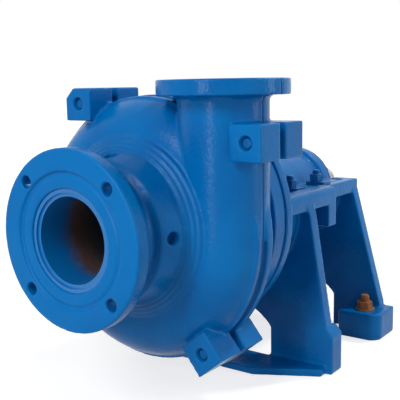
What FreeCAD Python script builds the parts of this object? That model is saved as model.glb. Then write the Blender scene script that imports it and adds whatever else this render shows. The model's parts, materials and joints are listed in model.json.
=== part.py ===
"""Horizontal lined slurry pump, built up from the pieces it comes apart into.

The pump line is the shaft axis.  Every body shares one frame of its own: the origin is the centre of
the suction face, "along" (Y) runs from there to the drive end, "across" (X) is towards the discharge
side, and "up" (Z) is the height above the shaft line.  Each body is then placed so that the origin of
the whole pump is the centre of the four base holes, at floor level.  Lengths are in millimetres.
"""
import FreeCAD
import Part
import Sketcher
import math
import os
import re

DIMENSIONS = (
    ("Pump line", (
        ("suction_reach", 626.5), ("shaft_height", 330),
    )),
    ("Clearances", (
        ("seat_clearance", 0.3), ("fit_clearance", 0.05), ("running_clearance", 0.3),
        ("bolt_clearance", 0.5), ("impeller_gap", 5.5),
    )),
    ("Suction side of the cover", (
        ("suction_flange_diameter", 305), ("suction_flange_thickness", 28), ("suction_bolt_circle", 260),
        ("suction_bolt_count", 4), ("suction_bolt_hole", 22), ("suction_bore", 146.6),
        ("suction_land_diameter", 230), ("suction_groove_width", 8), ("suction_groove_depth", 6),
        ("suction_land_depth", 3), ("bush_wall", 13.4), ("bush_lip", 6.5), ("bush_recess", 11),
        ("bush_lip_recess", 7), ("bush_cone_front", 80), ("bush_cone_rear", 150),
        ("bush_cone_radius", 118), ("neck_diameter", 224), ("neck_end", 82), ("hub_front", 90),
        ("hub_front_diameter", 252), ("hub_rear", 127), ("hub_rear_diameter", 276), ("hub_step", 8),
        ("hub_step_length", 6), ("cotter_hole", 22), ("cotter_station", 112), ("cotter_count", 4),
        ("cotter_length", 12),
    )),
    ("Volute", (
        ("split_station", 230), ("split_gap", 0.5), ("volute_pitch_radius", 164),
        ("casing_offset_across", -11), ("casing_offset_up", -15), ("discharge_bore", 102),
        ("liner_wall", 13.7), ("casing_wall", 14), ("rim_groove_width", 16), ("rim_groove_depth", 7),
        ("rim_height", 2), ("cover_rim_width", 15), ("frame_rim_width", 18), ("frame_rim_height", 4),
        ("liner_bore", 260),
    )),
    ("Discharge", (
        ("discharge_reach", 257), ("discharge_flange_diameter", 229),
        ("discharge_flange_thickness", 27), ("discharge_bolt_circle", 191), ("discharge_bolt_hole", 19),
        ("discharge_fillet", 10),
    )),
    ("Casing lugs and bolts", (
        ("lug_width", 61), ("lug_reach", 29), ("lug_root", 31), ("lug_chamfer", 18),
        ("cover_lug_length", 62), ("frame_lug_length", 60), ("casing_bolt", 20),
        ("casing_bolt_recess", 24), ("casing_bolt_recess_depth", 6), ("casing_bolt_head", 30),
        ("casing_bolt_head_height", 13), ("top_lug_across", -124), ("top_lug_up", 217),
        ("nozzle_lug_across", 241), ("nozzle_lug_up", 155), ("lower_lug_radius", 253),
        ("lower_right_angle", -51), ("lower_left_angle", 205),
    )),
    ("Frame plate and stuffing box", (
        ("frame_back", 335), ("register_diameter", 430), ("register_front", 298),
        ("box_seat_diameter", 224), ("insert_front", 266), ("insert_rear", 303), ("box_lip", 6),
        ("box_flange_diameter", 256), ("box_flange_thickness", 12), ("box_body_diameter", 168),
        ("box_rear", 402), ("box_bore", 128), ("lantern_width", 16), ("packing_width", 14),
        ("packing_count", 4), ("gland_nose", 21), ("gland_flange_gap", 6), ("gland_flange", 14),
        ("gland_bolt_reach", 92), ("gland_bolt", 16), ("gland_bolt_end", 446), ("gland_ear_width", 36),
        ("gland_ear_length", 18), ("gland_nut", 24), ("gland_nut_height", 13),
    )),
    ("Impeller", (
        ("impeller_diameter", 300), ("eye_diameter", 140), ("eye_lip", 10), ("shroud_front", 192),
        ("shroud_thickness", 10), ("passage_width", 40), ("back_shroud", 12), ("boss_diameter", 92),
        ("impeller_nose", 204), ("nose_tip", 14), ("nose_rear", 220),
        ("nose_radius", 40), ("nose_bend", 34), ("hub_flare", 56), ("hub_flare_bend", 36), ("vane_count", 5), ("vane_thickness", 11),
        ("vane_inlet_radius", 62), ("vane_wrap", 78), ("vane_bend", 150), ("expeller_count", 8),
        ("expeller_width", 9), ("expeller_height", 4.2), ("rear_expeller_height", 7),
        ("expeller_inner_radius", 90), ("expeller_margin", 2), ("thread_front", 228),
        ("thread_diameter", 60),
    )),
    ("Shaft and rotating parts", (
        ("sleeve_bore", 76), ("sleeve_diameter", 96), ("sleeve_rear", 440), ("collar_diameter", 120),
        ("collar_rear", 455), ("journal_diameter", 90), ("shoulder_diameter", 104),
        ("journal_end", 775), ("locknut_thread", 80), ("locknut_rear", 789), ("locknut_diameter", 112),
        ("locknut_slot", 10), ("locknut_slot_count", 4), ("shaft_end_diameter", 65),
        ("shaft_end", 915), ("shaft_chamfer", 3), ("key_width", 18), ("key_height", 11),
        ("key_depth", 7), ("key_front", 806), ("key_length", 100), ("oring_section", 4),
        ("front_labyrinth_front", 464), ("front_labyrinth_rear", 513), ("labyrinth_diameter", 104),
        ("labyrinth_flange_diameter", 124), ("labyrinth_flange_rear", 487),
        ("drive_labyrinth_front", 743),
    )),
    ("Bearings", (
        ("front_bearing", 514), ("drive_bearing", 700), ("bearing_width", 42),
        ("bearing_diameter", 160), ("roller_diameter", 14), ("roller_pitch_diameter", 132),
        ("roller_length", 32), ("roller_count", 16), ("cage_wall", 5), ("cage_width", 37),
    )),
    ("Bearing housing", (
        ("housing_front", 505), ("housing_rear", 750), ("housing_flange_diameter", 200),
        ("housing_flange_length", 26), ("housing_barrel_diameter", 184), ("housing_bore", 148),
        ("rail_inner", 84), ("rail_outer", 126), ("rail_margin", 3), ("slot_margin", 6),
        ("cover_plate_length", 14), ("end_cover_diameter", 192), ("end_cover_bore", 105),
        ("end_spigot_bore", 132), ("cover_screw_circle", 176), ("cover_screw_count", 6),
        ("cover_screw", 8), ("cover_screw_head", 13), ("cover_screw_head_height", 6),
        ("cover_screw_length", 22), ("shim_thickness", 1), ("lug_front", 690), ("adjuster_lug", 32),
        ("adjuster_lug_width", 44), ("adjuster_drop", 120), ("adjuster_lug_depth", 142),
        ("adjuster", 20), ("adjuster_end", 818), ("adjuster_nut", 30), ("adjuster_nut_height", 14),
        ("nipple_diameter", 8), ("nipple_height", 14), ("nipple_hex", 11), ("nipple_hex_height", 6),
        ("nipple_front", 550), ("nipple_drive", 706),
    )),
    ("Base casting", (
        ("bolt_span_across", 396), ("bolt_span_along", 214), ("base_bolt_hole", 22),
        ("spot_face", 54), ("ring_diameter", 436), ("ring_bore", 292), ("ring_thickness", 22),
        ("ring_bolt_circle", 388), ("ring_bolt_count", 6), ("ring_bolt_start", 30), ("ring_bolt", 16),
        ("ring_bolt_nut", 24), ("ring_bolt_nut_height", 13), ("ring_bolt_grip", 20),
        ("trough_outer", 172), ("trough_wall", 14), ("wall_front", 465), ("wall_thickness", 28),
        ("foot_across", 246), ("foot_block_length", 46), ("foot_block_height", 78),
        ("foot_block_inner", 166), ("wall_knee_across", 233), ("wall_knee_up", -236),
        ("wall_top_across", 196), ("wall_top_up", -10), ("front_boss_height", 50), ("toe_front", 381),
        ("toe_across", 111), ("toe_thickness", 15), ("toe_side_along", 446), ("rear_wall_front", 762),
        ("rear_wall_rear", 790), ("rear_wall_across", 222), ("rear_wall_foot_up", -262),
        ("rear_shoulder_across", 145), ("rear_foot_front", 693), ("rear_foot_inner", 150),
        ("rear_foot_height", 60), ("foot_corner", 28), ("deck_top", 26), ("deck_seat", 6),
        ("deck_bottom", -6), ("deck_outer", 150), ("cradle_radius", 105), ("cradle_wall", 13),
        ("rear_cut_radius", 97), ("bar_inner", 148), ("bar_outer", 190), ("bar_top", 33),
        ("bar_bottom", -3), ("bar_rear", 595), ("bar_round", 14), ("bar_block_front", 560),
        ("bar_block_bottom", -50), ("bar_block_inner", 158), ("arch_half_width", 104),
        ("arch_height", 128), ("arch_sill", 15), ("adjuster_slot_front", 640),
        ("adjuster_slot_width", 64),
    )),
    ("Clamps", (
        ("clamp_across", 114), ("clamp_front", 531), ("clamp_rear", 648), ("clamp_bolt", 16),
        ("clamp_bolt_end", 58), ("clamp_head", 24), ("clamp_head_height", 10), ("clamp_nut", 24),
        ("clamp_nut_height", 16), ("clamp_pocket", 30), ("clamp_pocket_depth", 22), ("washer_thickness", 7), ("washer_inner", 98),
        ("washer_outer", 142), ("washer_length", 36),
    )),
)
ALIASES = {alias for _, sizes in DIMENSIONS for alias, _ in sizes}

# Sizes worked out from the sheet, as expressions.
CHANNEL = "(discharge_bore / 2)"
LINER_TUBE = f"({CHANNEL} + liner_wall)"
CAVITY_TUBE = f"({LINER_TUBE} + seat_clearance)"
CASING_TUBE = f"({CAVITY_TUBE} + casing_wall)"
RIM_RADIUS = f"(volute_pitch_radius + {CASING_TUBE} + rim_height)"
GROOVE_RADIUS = f"({RIM_RADIUS} - rim_groove_depth)"
NOZZLE_ACROSS = "(casing_offset_across + volute_pitch_radius)"
BUSH_SEAT = "(suction_bore / 2 + bush_wall)"
BOX_LIP_REAR = "(insert_rear + box_lip)"
PACKING_FRONT = f"({BOX_LIP_REAR} + lantern_width)"
PACKING_REAR = f"({PACKING_FRONT} + packing_width * packing_count)"
GLAND_FRONT = f"({PACKING_REAR} + running_clearance)"
GLAND_FACE = "(box_rear + gland_flange_gap)"
GLAND_BACK = f"({GLAND_FACE} + gland_flange)"
SLEEVE_CLEAR = "(sleeve_diameter / 2 + running_clearance)"
BOX_CLEAR = "(box_bore / 2 - running_clearance)"
IMPELLER_RADIUS = "(impeller_diameter / 2)"
PASSAGE_FRONT = "(shroud_front + shroud_thickness)"
PASSAGE_REAR = f"({PASSAGE_FRONT} + passage_width)"
BACK_FACE = f"({PASSAGE_REAR} + back_shroud)"
JOURNAL = "(journal_diameter / 2)"
JOURNAL_SEAT = f"({JOURNAL} + fit_clearance)"
RACE_SEAT = "(bearing_diameter / 2 + fit_clearance)"
ROLLER_PITCH = "(roller_pitch_diameter / 2)"
ROLLER_CLEAR = "(roller_diameter / 2 + running_clearance)"
FRONT_BEARING_REAR = "(front_bearing + bearing_width)"
DRIVE_BEARING_REAR = "(drive_bearing + bearing_width)"
DRIVE_COVER_FRONT = "(housing_rear + shim_thickness)"
FLOOR = "-shaft_height"
RING_REAR = "(frame_back + ring_thickness)"
BASE_MIDDLE = "suction_reach"

doc = FreeCAD.newDocument("SlurryPump")
sheet = doc.addObject("Spreadsheet::Sheet", "Dims")


def write_sheet():
    """Put each driving dimension in the sheet under its alias."""
    row = 1
    for heading, sizes in DIMENSIONS:
        sheet.set(f"A{row}", heading)
        row += 1
        for alias, size in sizes:
            sheet.set(f"A{row}", alias)
            sheet.set(f"B{row}", str(size))
            sheet.setAlias(f"B{row}", alias)
            row += 1
    doc.recompute()


def bound(expression):
    """Point the aliases named in an expression at the sheet."""
    return re.sub(r"[a-z_]+", lambda word: f"Dims.{word[0]}" if word[0] in ALIASES else word[0],
                  str(expression))


def number(expression):
    """The present value of an expression."""
    return float(sheet.evalExpression(bound(expression)))


def count(alias):
    """A dimension that counts pieces, as a range."""
    return range(int(number(alias)))


def station(side, distance):
    """The place along the pump line at a distance from the split plane, on one side of it."""
    return f"(split_station + {side} * ({distance}))"


def around(radius, angle):
    """The across and up of a point at a radius and an angle about a centre line."""
    return f"(({radius}) * cos({angle}))", f"(({radius}) * sin({angle}))"


# ---------------------------------------------------------------- sketches and features

def new_body(label):
    """An empty body on the pump line."""
    body = doc.addObject("PartDesign::Body", label)
    body.Label = label
    body.AllowCompound = True
    body.setExpression("Placement.Base.y", bound("-suction_reach"))
    body.setExpression("Placement.Base.z", bound("shaft_height"))
    return body


def origin_part(body, role):
    """One of the body's own origin planes or axes."""
    return next(part for part in body.Origin.OriginFeatures if part.Role == role)


def sketch_on(body, role, right=0, over=0, out=0, turn=0):
    """A sketch on an origin plane, shifted in the plane's own directions and turned in it."""
    sketch = body.newObject("Sketcher::SketchObject", f"{body.Label}_sketch")
    sketch.AttachmentSupport = (origin_part(body, role), "")
    sketch.MapMode = "FlatFace"
    for place, shift in (("Base.x", right), ("Base.y", over), ("Base.z", out), ("Rotation.Angle", turn)):
        if str(shift) != "0":
            sketch.setExpression(f"AttachmentOffset.{place}", bound(shift))
    return sketch


def section_sketch(body):
    """A sketch of half a section through the pump line: along, then radius."""
    return sketch_on(body, "YZ_Plane")


def volute_sketch(body):
    """A sketch of half a section through the volute's own axis: along, then radius."""
    return sketch_on(body, "YZ_Plane", over="casing_offset_up", out="casing_offset_across")


def cross_sketch(body, along, right=0, over=0, turn=0):
    """A sketch square to the pump line, seen from the suction side: across, then up."""
    return sketch_on(body, "XZ_Plane", right, over, f"-({along})", turn)


def plan_sketch(body, up):
    """A sketch seen from above: across, then along."""
    return sketch_on(body, "XY_Plane", out=up)


def tie(sketch, kind, places, expression):
    """Add one dimension to a sketch, driven by the sheet."""
    index = sketch.addConstraint(Sketcher.Constraint(kind, *places, number(expression)))
    sketch.setExpression(f"Constraints[{index}]", bound(expression))


def arc_between(start, end, radius):
    """The short arc of a signed radius; its centre is on the left of the way when positive."""
    chord = end - start
    height = math.sqrt(max(radius ** 2 - (chord.Length / 2) ** 2, 0))
    left = FreeCAD.Vector(-chord.y, chord.x, 0).normalize()
    centre = (start + end) * 0.5 + left * math.copysign(height, radius)
    first, last = (start, end) if radius > 0 else (end, start)
    angles = [math.atan2(point.y - centre.y, point.x - centre.x) for point in (first, last)]
    if angles[1] < angles[0]:
        angles[1] += 2 * math.pi
    circle = Part.Circle(centre, FreeCAD.Vector(0, 0, 1), abs(radius))
    return Part.ArcOfCircle(circle, *angles)


def draw(sketch, corners):
    """Close an outline through corners; a third value bends the edge that follows a corner."""
    points = [FreeCAD.Vector(number(corner[0]), number(corner[1]), 0) for corner in corners]
    first = sketch.GeometryCount
    ends = []
    for index, corner in enumerate(corners):
        start, end = points[index], points[(index + 1) % len(points)]
        if len(corner) > 2:
            radius = number(corner[2])
            sketch.addGeometry(arc_between(start, end, radius), False)
            ends.append((1, 2) if radius > 0 else (2, 1))
        else:
            sketch.addGeometry(Part.LineSegment(start, end), False)
            ends.append((1, 2))
    for index in range(len(corners)):
        following = (index + 1) % len(corners)
        sketch.addConstraint(Sketcher.Constraint(
            "Coincident", first + index, ends[index][1], first + following, ends[following][0]))
    for index, corner in enumerate(corners):
        point = (-1, 1, first + index, ends[index][0])
        tie(sketch, "DistanceX", point, corner[0])
        tie(sketch, "DistanceY", point, corner[1])
        if len(corner) > 2:
            tie(sketch, "Radius", (first + index,), f"abs({corner[2]})")
    return sketch


def draw_circle(sketch, diameter, right=0, over=0):
    """Add a circle to a sketch."""
    place = FreeCAD.Vector(number(right), number(over), 0)
    index = sketch.addGeometry(
        Part.Circle(place, FreeCAD.Vector(0, 0, 1), number(diameter) / 2), False)
    tie(sketch, "DistanceX", (-1, 1, index, 3), right)
    tie(sketch, "DistanceY", (-1, 1, index, 3), over)
    tie(sketch, "Diameter", (index,), diameter)
    return sketch


def draw_box(sketch, left, right, low, high):
    """Add an upright rectangle to a sketch."""
    return draw(sketch, ((left, low), (right, low), (right, high), (left, high)))


def draw_hexagon(sketch, across_flats, right=0, over=0):
    """Add a hexagon to a sketch, with two corners level with its centre."""
    corner_radius = f"({across_flats}) / sqrt(3)"
    corners = []
    for sixth in range(6):
        shift, rise = around(corner_radius, 60 * sixth)
        corners.append((f"({right}) + {shift}", f"({over}) + {rise}"))
    return draw(sketch, corners)


def swept(body, kind, sketch, settings, **sizes):
    """Add a feature made from a sketch, with its sizes driven by the sheet."""
    feature = body.newObject(f"PartDesign::{kind}", f"{body.Label}_{kind.lower()}")
    feature.Profile = sketch
    for name, value in settings.items():
        setattr(feature, name, value)
    for name, expression in sizes.items():
        feature.setExpression(name, bound(expression))
    return feature


def turn(body, sketch, axis="H_Axis", angle=360, backwards=False):
    """Add material by turning an outline about an axis of its sketch."""
    settings = {"ReferenceAxis": (sketch, [axis]), "Reversed": backwards}
    return swept(body, "Revolution", sketch, settings, Angle=angle)


def bore(body, sketch, axis="H_Axis"):
    """Cut material by turning an outline once round an axis of its sketch."""
    return swept(body, "Groove", sketch, {"ReferenceAxis": (sketch, [axis])}, Angle=360)


def extend(body, sketch, length, backwards=False):
    """Add material along a sketch's normal, or against it."""
    return swept(body, "Pad", sketch, {"Reversed": backwards}, Length=length)


def cut(body, sketch, length, backwards=False, both_ways=False):
    """Cut against a sketch's normal, or along it, or both ways."""
    settings = {"Reversed": backwards}
    if both_ways:
        settings["SideType"] = "Symmetric"
    return swept(body, "Pocket", sketch, settings, Length=length)


def repeat(body, feature, times, axis="Y_Axis"):
    """Repeat a feature evenly round one of the body's axes."""
    pattern = body.newObject("PartDesign::PolarPattern", f"{body.Label}_pattern")
    pattern.Originals = [feature]
    pattern.Axis = (origin_part(body, axis), [""])
    pattern.Angle = 360
    pattern.setExpression("Occurrences", bound(times))
    body.Tip = pattern
    return pattern


def turned(label, *outlines):
    """A body made of pieces turned about the pump line; each outline is (along, radius) corners."""
    body = new_body(label)
    for corners in outlines:
        turn(body, draw(section_sketch(body), corners))
    return body


def ring(front, rear, inner, outer):
    """The outline of a plain ring."""
    return (front, inner), (front, outer), (rear, outer), (rear, inner)


# ---------------------------------------------------------------- casing halves

COVER_SIDE = -1
FRAME_SIDE = 1


def lug_places():
    """Across, up and turn of each casing lug's bolt, and whether its outer corner is cut back."""
    lower = []
    for angle in ("lower_right_angle", "lower_left_angle"):
        across, up = around("lower_lug_radius", angle)
        lower.append((f"casing_offset_across + {across}", f"casing_offset_up + {up}", angle, False))
    return (("nozzle_lug_across", "nozzle_lug_up", "0", False),
            ("top_lug_across", "top_lug_up", "90", True), *lower)


def volute_half(body, side, rim_width, rim_height):
    """The solid dome of one casing half, with its rim and half of the recess between the rims."""
    rim_front = f"rim_groove_width / 2 + {rim_width}"
    rim_radius = f"volute_pitch_radius + {CASING_TUBE} + {rim_height}"
    dome_radius = f"volute_pitch_radius + sqrt({CASING_TUBE} ^ 2 - ({rim_front}) ^ 2)"
    corners = (
        (station(side, "split_gap / 2"), "0"),
        (station(side, "split_gap / 2"), GROOVE_RADIUS),
        (station(side, "rim_groove_width / 2"), GROOVE_RADIUS),
        (station(side, "rim_groove_width / 2"), rim_radius),
        (station(side, rim_front), rim_radius),
        (station(side, rim_front), dome_radius, f"{-side} * {CASING_TUBE}"),
        (station(side, CASING_TUBE), "volute_pitch_radius"),
        (station(side, CASING_TUBE), "0"),
    )
    turn(body, draw(volute_sketch(body), corners))


def nozzle_half(body, side):
    """Half of the discharge neck and its flange, turned about the upright nozzle axis."""
    sketch = cross_sketch(body, station(side, "split_gap / 2"), right=NOZZLE_ACROSS)
    flange_under = "discharge_reach - discharge_flange_thickness"
    corners = (
        ("0", "casing_offset_up"),
        (CASING_TUBE, "casing_offset_up"),
        (CASING_TUBE, f"{flange_under} - discharge_fillet", "-discharge_fillet"),
        (f"{CASING_TUBE} + discharge_fillet", flange_under),
        ("discharge_flange_diameter / 2", flange_under),
        ("discharge_flange_diameter / 2", "discharge_reach"),
        ("0", "discharge_reach"),
    )
    turn(body, draw(sketch, corners), "V_Axis", angle=180, backwards=side == COVER_SIDE)


def lugs(body, side, length):
    """The four lugs that the casing bolts pass through."""
    for across, up, angle, cut_back in lug_places():
        sketch = cross_sketch(body, station(side, "rim_groove_width / 2"), across, up, angle)
        corners = [("-lug_root", "-lug_width / 2"), ("lug_reach", "-lug_width / 2")]
        if cut_back:
            corners += [("lug_reach", "lug_width / 2 - lug_chamfer"),
                        ("lug_reach - lug_chamfer", "lug_width / 2")]
        else:
            corners += [("lug_reach", "lug_width / 2")]
        corners += [("-lug_root", "lug_width / 2")]
        extend(body, draw(sketch, corners), length, backwards=side == FRAME_SIDE)


def lug_holes(body, along, diameter, length, backwards=False):
    """Cut a round hole at each casing bolt."""
    sketch = cross_sketch(body, along)
    for across, up, _, _ in lug_places():
        draw_circle(sketch, diameter, across, up)
    cut(body, sketch, length, backwards)


def volute_cavity(body, side):
    """Cut the room for the liner: half of its ring, its flat end wall and its neck."""
    corners = (
        (station(side, "-split_gap"), "0"),
        (station(side, "-split_gap"), f"volute_pitch_radius + {CAVITY_TUBE}"),
        (station(side, "0"), f"volute_pitch_radius + {CAVITY_TUBE}", f"{-side} * {CAVITY_TUBE}"),
        (station(side, CAVITY_TUBE), "volute_pitch_radius"),
        (station(side, CAVITY_TUBE), "0"),
    )
    bore(body, draw(volute_sketch(body), corners))
    neck = plan_sketch(body, "discharge_reach")
    draw_circle(neck, f"2 * {CAVITY_TUBE}", NOZZLE_ACROSS, "split_station")
    cut(body, neck, "discharge_reach - casing_offset_up")


def discharge_holes(body):
    """Cut the discharge flange's bolt holes, astride both centre lines."""
    sketch = plan_sketch(body, "discharge_reach")
    for quarter in range(4):
        shift, rise = around("discharge_bolt_circle / 2", 45 + 90 * quarter)
        draw_circle(sketch, "discharge_bolt_hole", f"{NOZZLE_ACROSS} + {shift}",
                    f"split_station + {rise}")
    cut(body, sketch, "discharge_flange_thickness")


def cover_plate():
    """The suction half of the casing, with its suction flange, hub and the holes for the cotters."""
    body = new_body("cover_plate")
    volute_half(body, COVER_SIDE, "cover_rim_width", "rim_height")
    step_radius = "hub_rear_diameter / 2"
    hub = [
        ("0", "0"), ("0", "suction_flange_diameter / 2"),
        ("suction_flange_thickness", "suction_flange_diameter / 2"),
        ("suction_flange_thickness", "neck_diameter / 2"), ("neck_end", "neck_diameter / 2"),
        ("hub_front", "hub_front_diameter / 2"), ("hub_rear", step_radius),
    ]
    for step in (1, 2, 3):
        hub += [(f"hub_rear + {step} * hub_step_length", f"{step_radius} + {step - 1} * hub_step"),
                (f"hub_rear + {step} * hub_step_length", f"{step_radius} + {step} * hub_step")]
    hub += [(station(COVER_SIDE, CAVITY_TUBE), f"{step_radius} + 3 * hub_step"),
            (station(COVER_SIDE, CAVITY_TUBE), "0")]
    turn(body, draw(section_sketch(body), hub))
    nozzle_half(body, COVER_SIDE)
    lugs(body, COVER_SIDE, "cover_lug_length")
    volute_cavity(body, COVER_SIDE)
    passage = (
        ("-seat_clearance", "0"), ("-seat_clearance", "suction_land_diameter / 2"),
        ("suction_groove_depth", "suction_land_diameter / 2"),
        ("suction_groove_depth", "suction_land_diameter / 2 - suction_groove_width"),
        ("suction_land_depth", "suction_land_diameter / 2 - suction_groove_width"),
        ("suction_land_depth", BUSH_SEAT), ("bush_cone_front", BUSH_SEAT),
        ("bush_cone_rear", "bush_cone_radius"),
        (station(COVER_SIDE, f"{CAVITY_TUBE} - seat_clearance"), "bush_cone_radius"),
        (station(COVER_SIDE, f"{CAVITY_TUBE} - seat_clearance"), "0"),
    )
    bore(body, draw(section_sketch(body), passage))
    flange_holes = cross_sketch(body, "0")
    for index in count("suction_bolt_count"):
        shift, rise = around("suction_bolt_circle / 2", f"45 + {index} * 360 / suction_bolt_count")
        draw_circle(flange_holes, "suction_bolt_hole", shift, rise)
    cut(body, flange_holes, "suction_flange_thickness")
    lug_front = station(COVER_SIDE, "rim_groove_width / 2 + cover_lug_length")
    lug_holes(body, lug_front, "casing_bolt + bolt_clearance", "cover_lug_length + rim_groove_width / 2")
    lug_holes(body, lug_front, "casing_bolt_recess", "casing_bolt_recess_depth")
    discharge_holes(body)
    side_holes = sketch_on(body, "YZ_Plane")
    draw_circle(side_holes, "cotter_hole", "cotter_station", "0")
    side_cut = cut(body, side_holes, "hub_rear_diameter / 2 + hub_step")
    repeat(body, side_cut, "cotter_count")
    return body


def frame_plate():
    """The drive half of the casing, with the register that the base carries and the box seat."""
    body = new_body("frame_plate")
    volute_half(body, FRAME_SIDE, "frame_rim_width", "frame_rim_height")
    register = (("register_front", "0"), ("register_front", "register_diameter / 2"),
                ("frame_back", "register_diameter / 2"), ("frame_back", "0"))
    turn(body, draw(section_sketch(body), register))
    nozzle_half(body, FRAME_SIDE)
    lugs(body, FRAME_SIDE, "frame_lug_length")
    volute_cavity(body, FRAME_SIDE)
    bore(body, draw(section_sketch(body), (
        (station(FRAME_SIDE, f"{CAVITY_TUBE} - seat_clearance"), "0"),
        (station(FRAME_SIDE, f"{CAVITY_TUBE} - seat_clearance"), "box_seat_diameter / 2"),
        ("frame_back + seat_clearance", "box_seat_diameter / 2"),
        ("frame_back + seat_clearance", "0"))))
    lug_holes(body, "split_station", "casing_bolt + bolt_clearance",
              "frame_lug_length + rim_groove_width / 2")
    stud_holes = cross_sketch(body, "frame_back")
    ring_bolt_circles(stud_holes, "ring_bolt + bolt_clearance")
    cut(body, stud_holes, "ring_bolt_grip", backwards=True)
    discharge_holes(body)
    return body


def casing_bolts():
    """The four bolts that draw the frame plate and cover plate together, headed behind the lugs."""
    body = new_body("casing_bolts")
    head_face = station(FRAME_SIDE, "rim_groove_width / 2 + frame_lug_length")
    tip = station(COVER_SIDE, "rim_groove_width / 2 + cover_lug_length - casing_bolt_recess_depth")
    shanks = cross_sketch(body, tip)
    heads = cross_sketch(body, head_face)
    for across, up, _, _ in lug_places():
        draw_circle(shanks, "casing_bolt", across, up)
        draw_hexagon(heads, "casing_bolt_head", across, up)
    extend(body, shanks, f"{head_face} - {tip}", backwards=True)
    extend(body, heads, "casing_bolt_head_height", backwards=True)
    return body


# ---------------------------------------------------------------- wet end

def volute_liner():
    """The hard iron liner: a ring channel with flat end walls, and the discharge neck."""
    body = new_body("volute_liner")
    front = station(COVER_SIDE, LINER_TUBE)
    rear = station(FRAME_SIDE, LINER_TUBE)
    inner_front = station(COVER_SIDE, CHANNEL)
    inner_rear = station(FRAME_SIDE, CHANNEL)
    outer = f"(volute_pitch_radius + {LINER_TUBE})"
    turn(body, draw(volute_sketch(body), (
        (front, "0"), (front, "volute_pitch_radius", f"-{LINER_TUBE}"),
        ("split_station", outer, f"-{LINER_TUBE}"), (rear, "volute_pitch_radius"), (rear, "0"))))
    neck = plan_sketch(body, "casing_offset_up")
    draw_circle(neck, f"2 * {LINER_TUBE}", NOZZLE_ACROSS, "split_station")
    extend(body, neck, "discharge_reach - casing_offset_up")
    channel = f"(volute_pitch_radius + {CHANNEL})"
    bore(body, draw(volute_sketch(body), (
        (inner_front, "0"), (inner_front, "volute_pitch_radius", f"-{CHANNEL}"),
        ("split_station", channel, f"-{CHANNEL}"), (inner_rear, "volute_pitch_radius"),
        (inner_rear, "0"))))
    outlet = plan_sketch(body, "discharge_reach")
    draw_circle(outlet, "discharge_bore", NOZZLE_ACROSS, "split_station")
    cut(body, outlet, "discharge_reach - casing_offset_up")
    ends = cross_sketch(body, front)
    draw_circle(ends, "liner_bore")
    cut(body, ends, f"2 * {LINER_TUBE}")
    return body


def throat_bush():
    """The renewable suction liner, from the suction face to the impeller's front shroud."""
    seat = f"({BUSH_SEAT} - seat_clearance)"
    face = station(COVER_SIDE, CAVITY_TUBE)
    rim = "(liner_bore / 2 - seat_clearance)"
    wet_face = "(shroud_front - expeller_height - impeller_gap)"
    return turned("throat_bush", (
        ("bush_recess", "suction_bore / 2"), ("bush_recess", f"{seat} - bush_lip"),
        ("bush_lip_recess", f"{seat} - bush_lip"), ("bush_lip_recess", seat),
        ("bush_cone_front", seat), ("bush_cone_rear", "bush_cone_radius - seat_clearance"),
        (face, "bush_cone_radius - seat_clearance"), (face, rim), (wet_face, rim),
        (wet_face, "suction_bore / 2")))


def cotters():
    """The four cotter pins in the hub that hold the throat bush in the cover plate."""
    body = new_body("cotters")
    slope = "((bush_cone_radius - {0}) / (bush_cone_rear - bush_cone_front))".format(BUSH_SEAT)
    tip = f"({BUSH_SEAT} + {slope} * (cotter_station + cotter_hole / 2 - bush_cone_front))"
    sketch = sketch_on(body, "YZ_Plane", out=tip)
    draw_circle(sketch, "cotter_hole - 2 * seat_clearance", "cotter_station", "0")
    repeat(body, extend(body, sketch, "cotter_length"), "cotter_count")
    return body


def frame_plate_insert():
    """The renewable liner behind the impeller, located in the frame plate's bore."""
    face = station(FRAME_SIDE, CAVITY_TUBE)
    rim = "(liner_bore / 2 - seat_clearance)"
    eye = "(boss_diameter / 2 + impeller_gap)"
    spigot = "(box_seat_diameter / 2 - seat_clearance)"
    return turned("frame_plate_insert", (
        ("insert_front", eye), ("insert_front", rim), (face, rim), (face, spigot),
        ("insert_rear", spigot), ("insert_rear", eye)))


def expelling_vanes(body, front, height, inner):
    """Short straight vanes on a shroud that throw solids out of the side clearance."""
    sketch = cross_sketch(body, front)
    draw_box(sketch, inner, f"{IMPELLER_RADIUS} - expeller_margin", "-expeller_width / 2",
             "expeller_width / 2")
    repeat(body, extend(body, sketch, height, backwards=True), "expeller_count")


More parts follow.
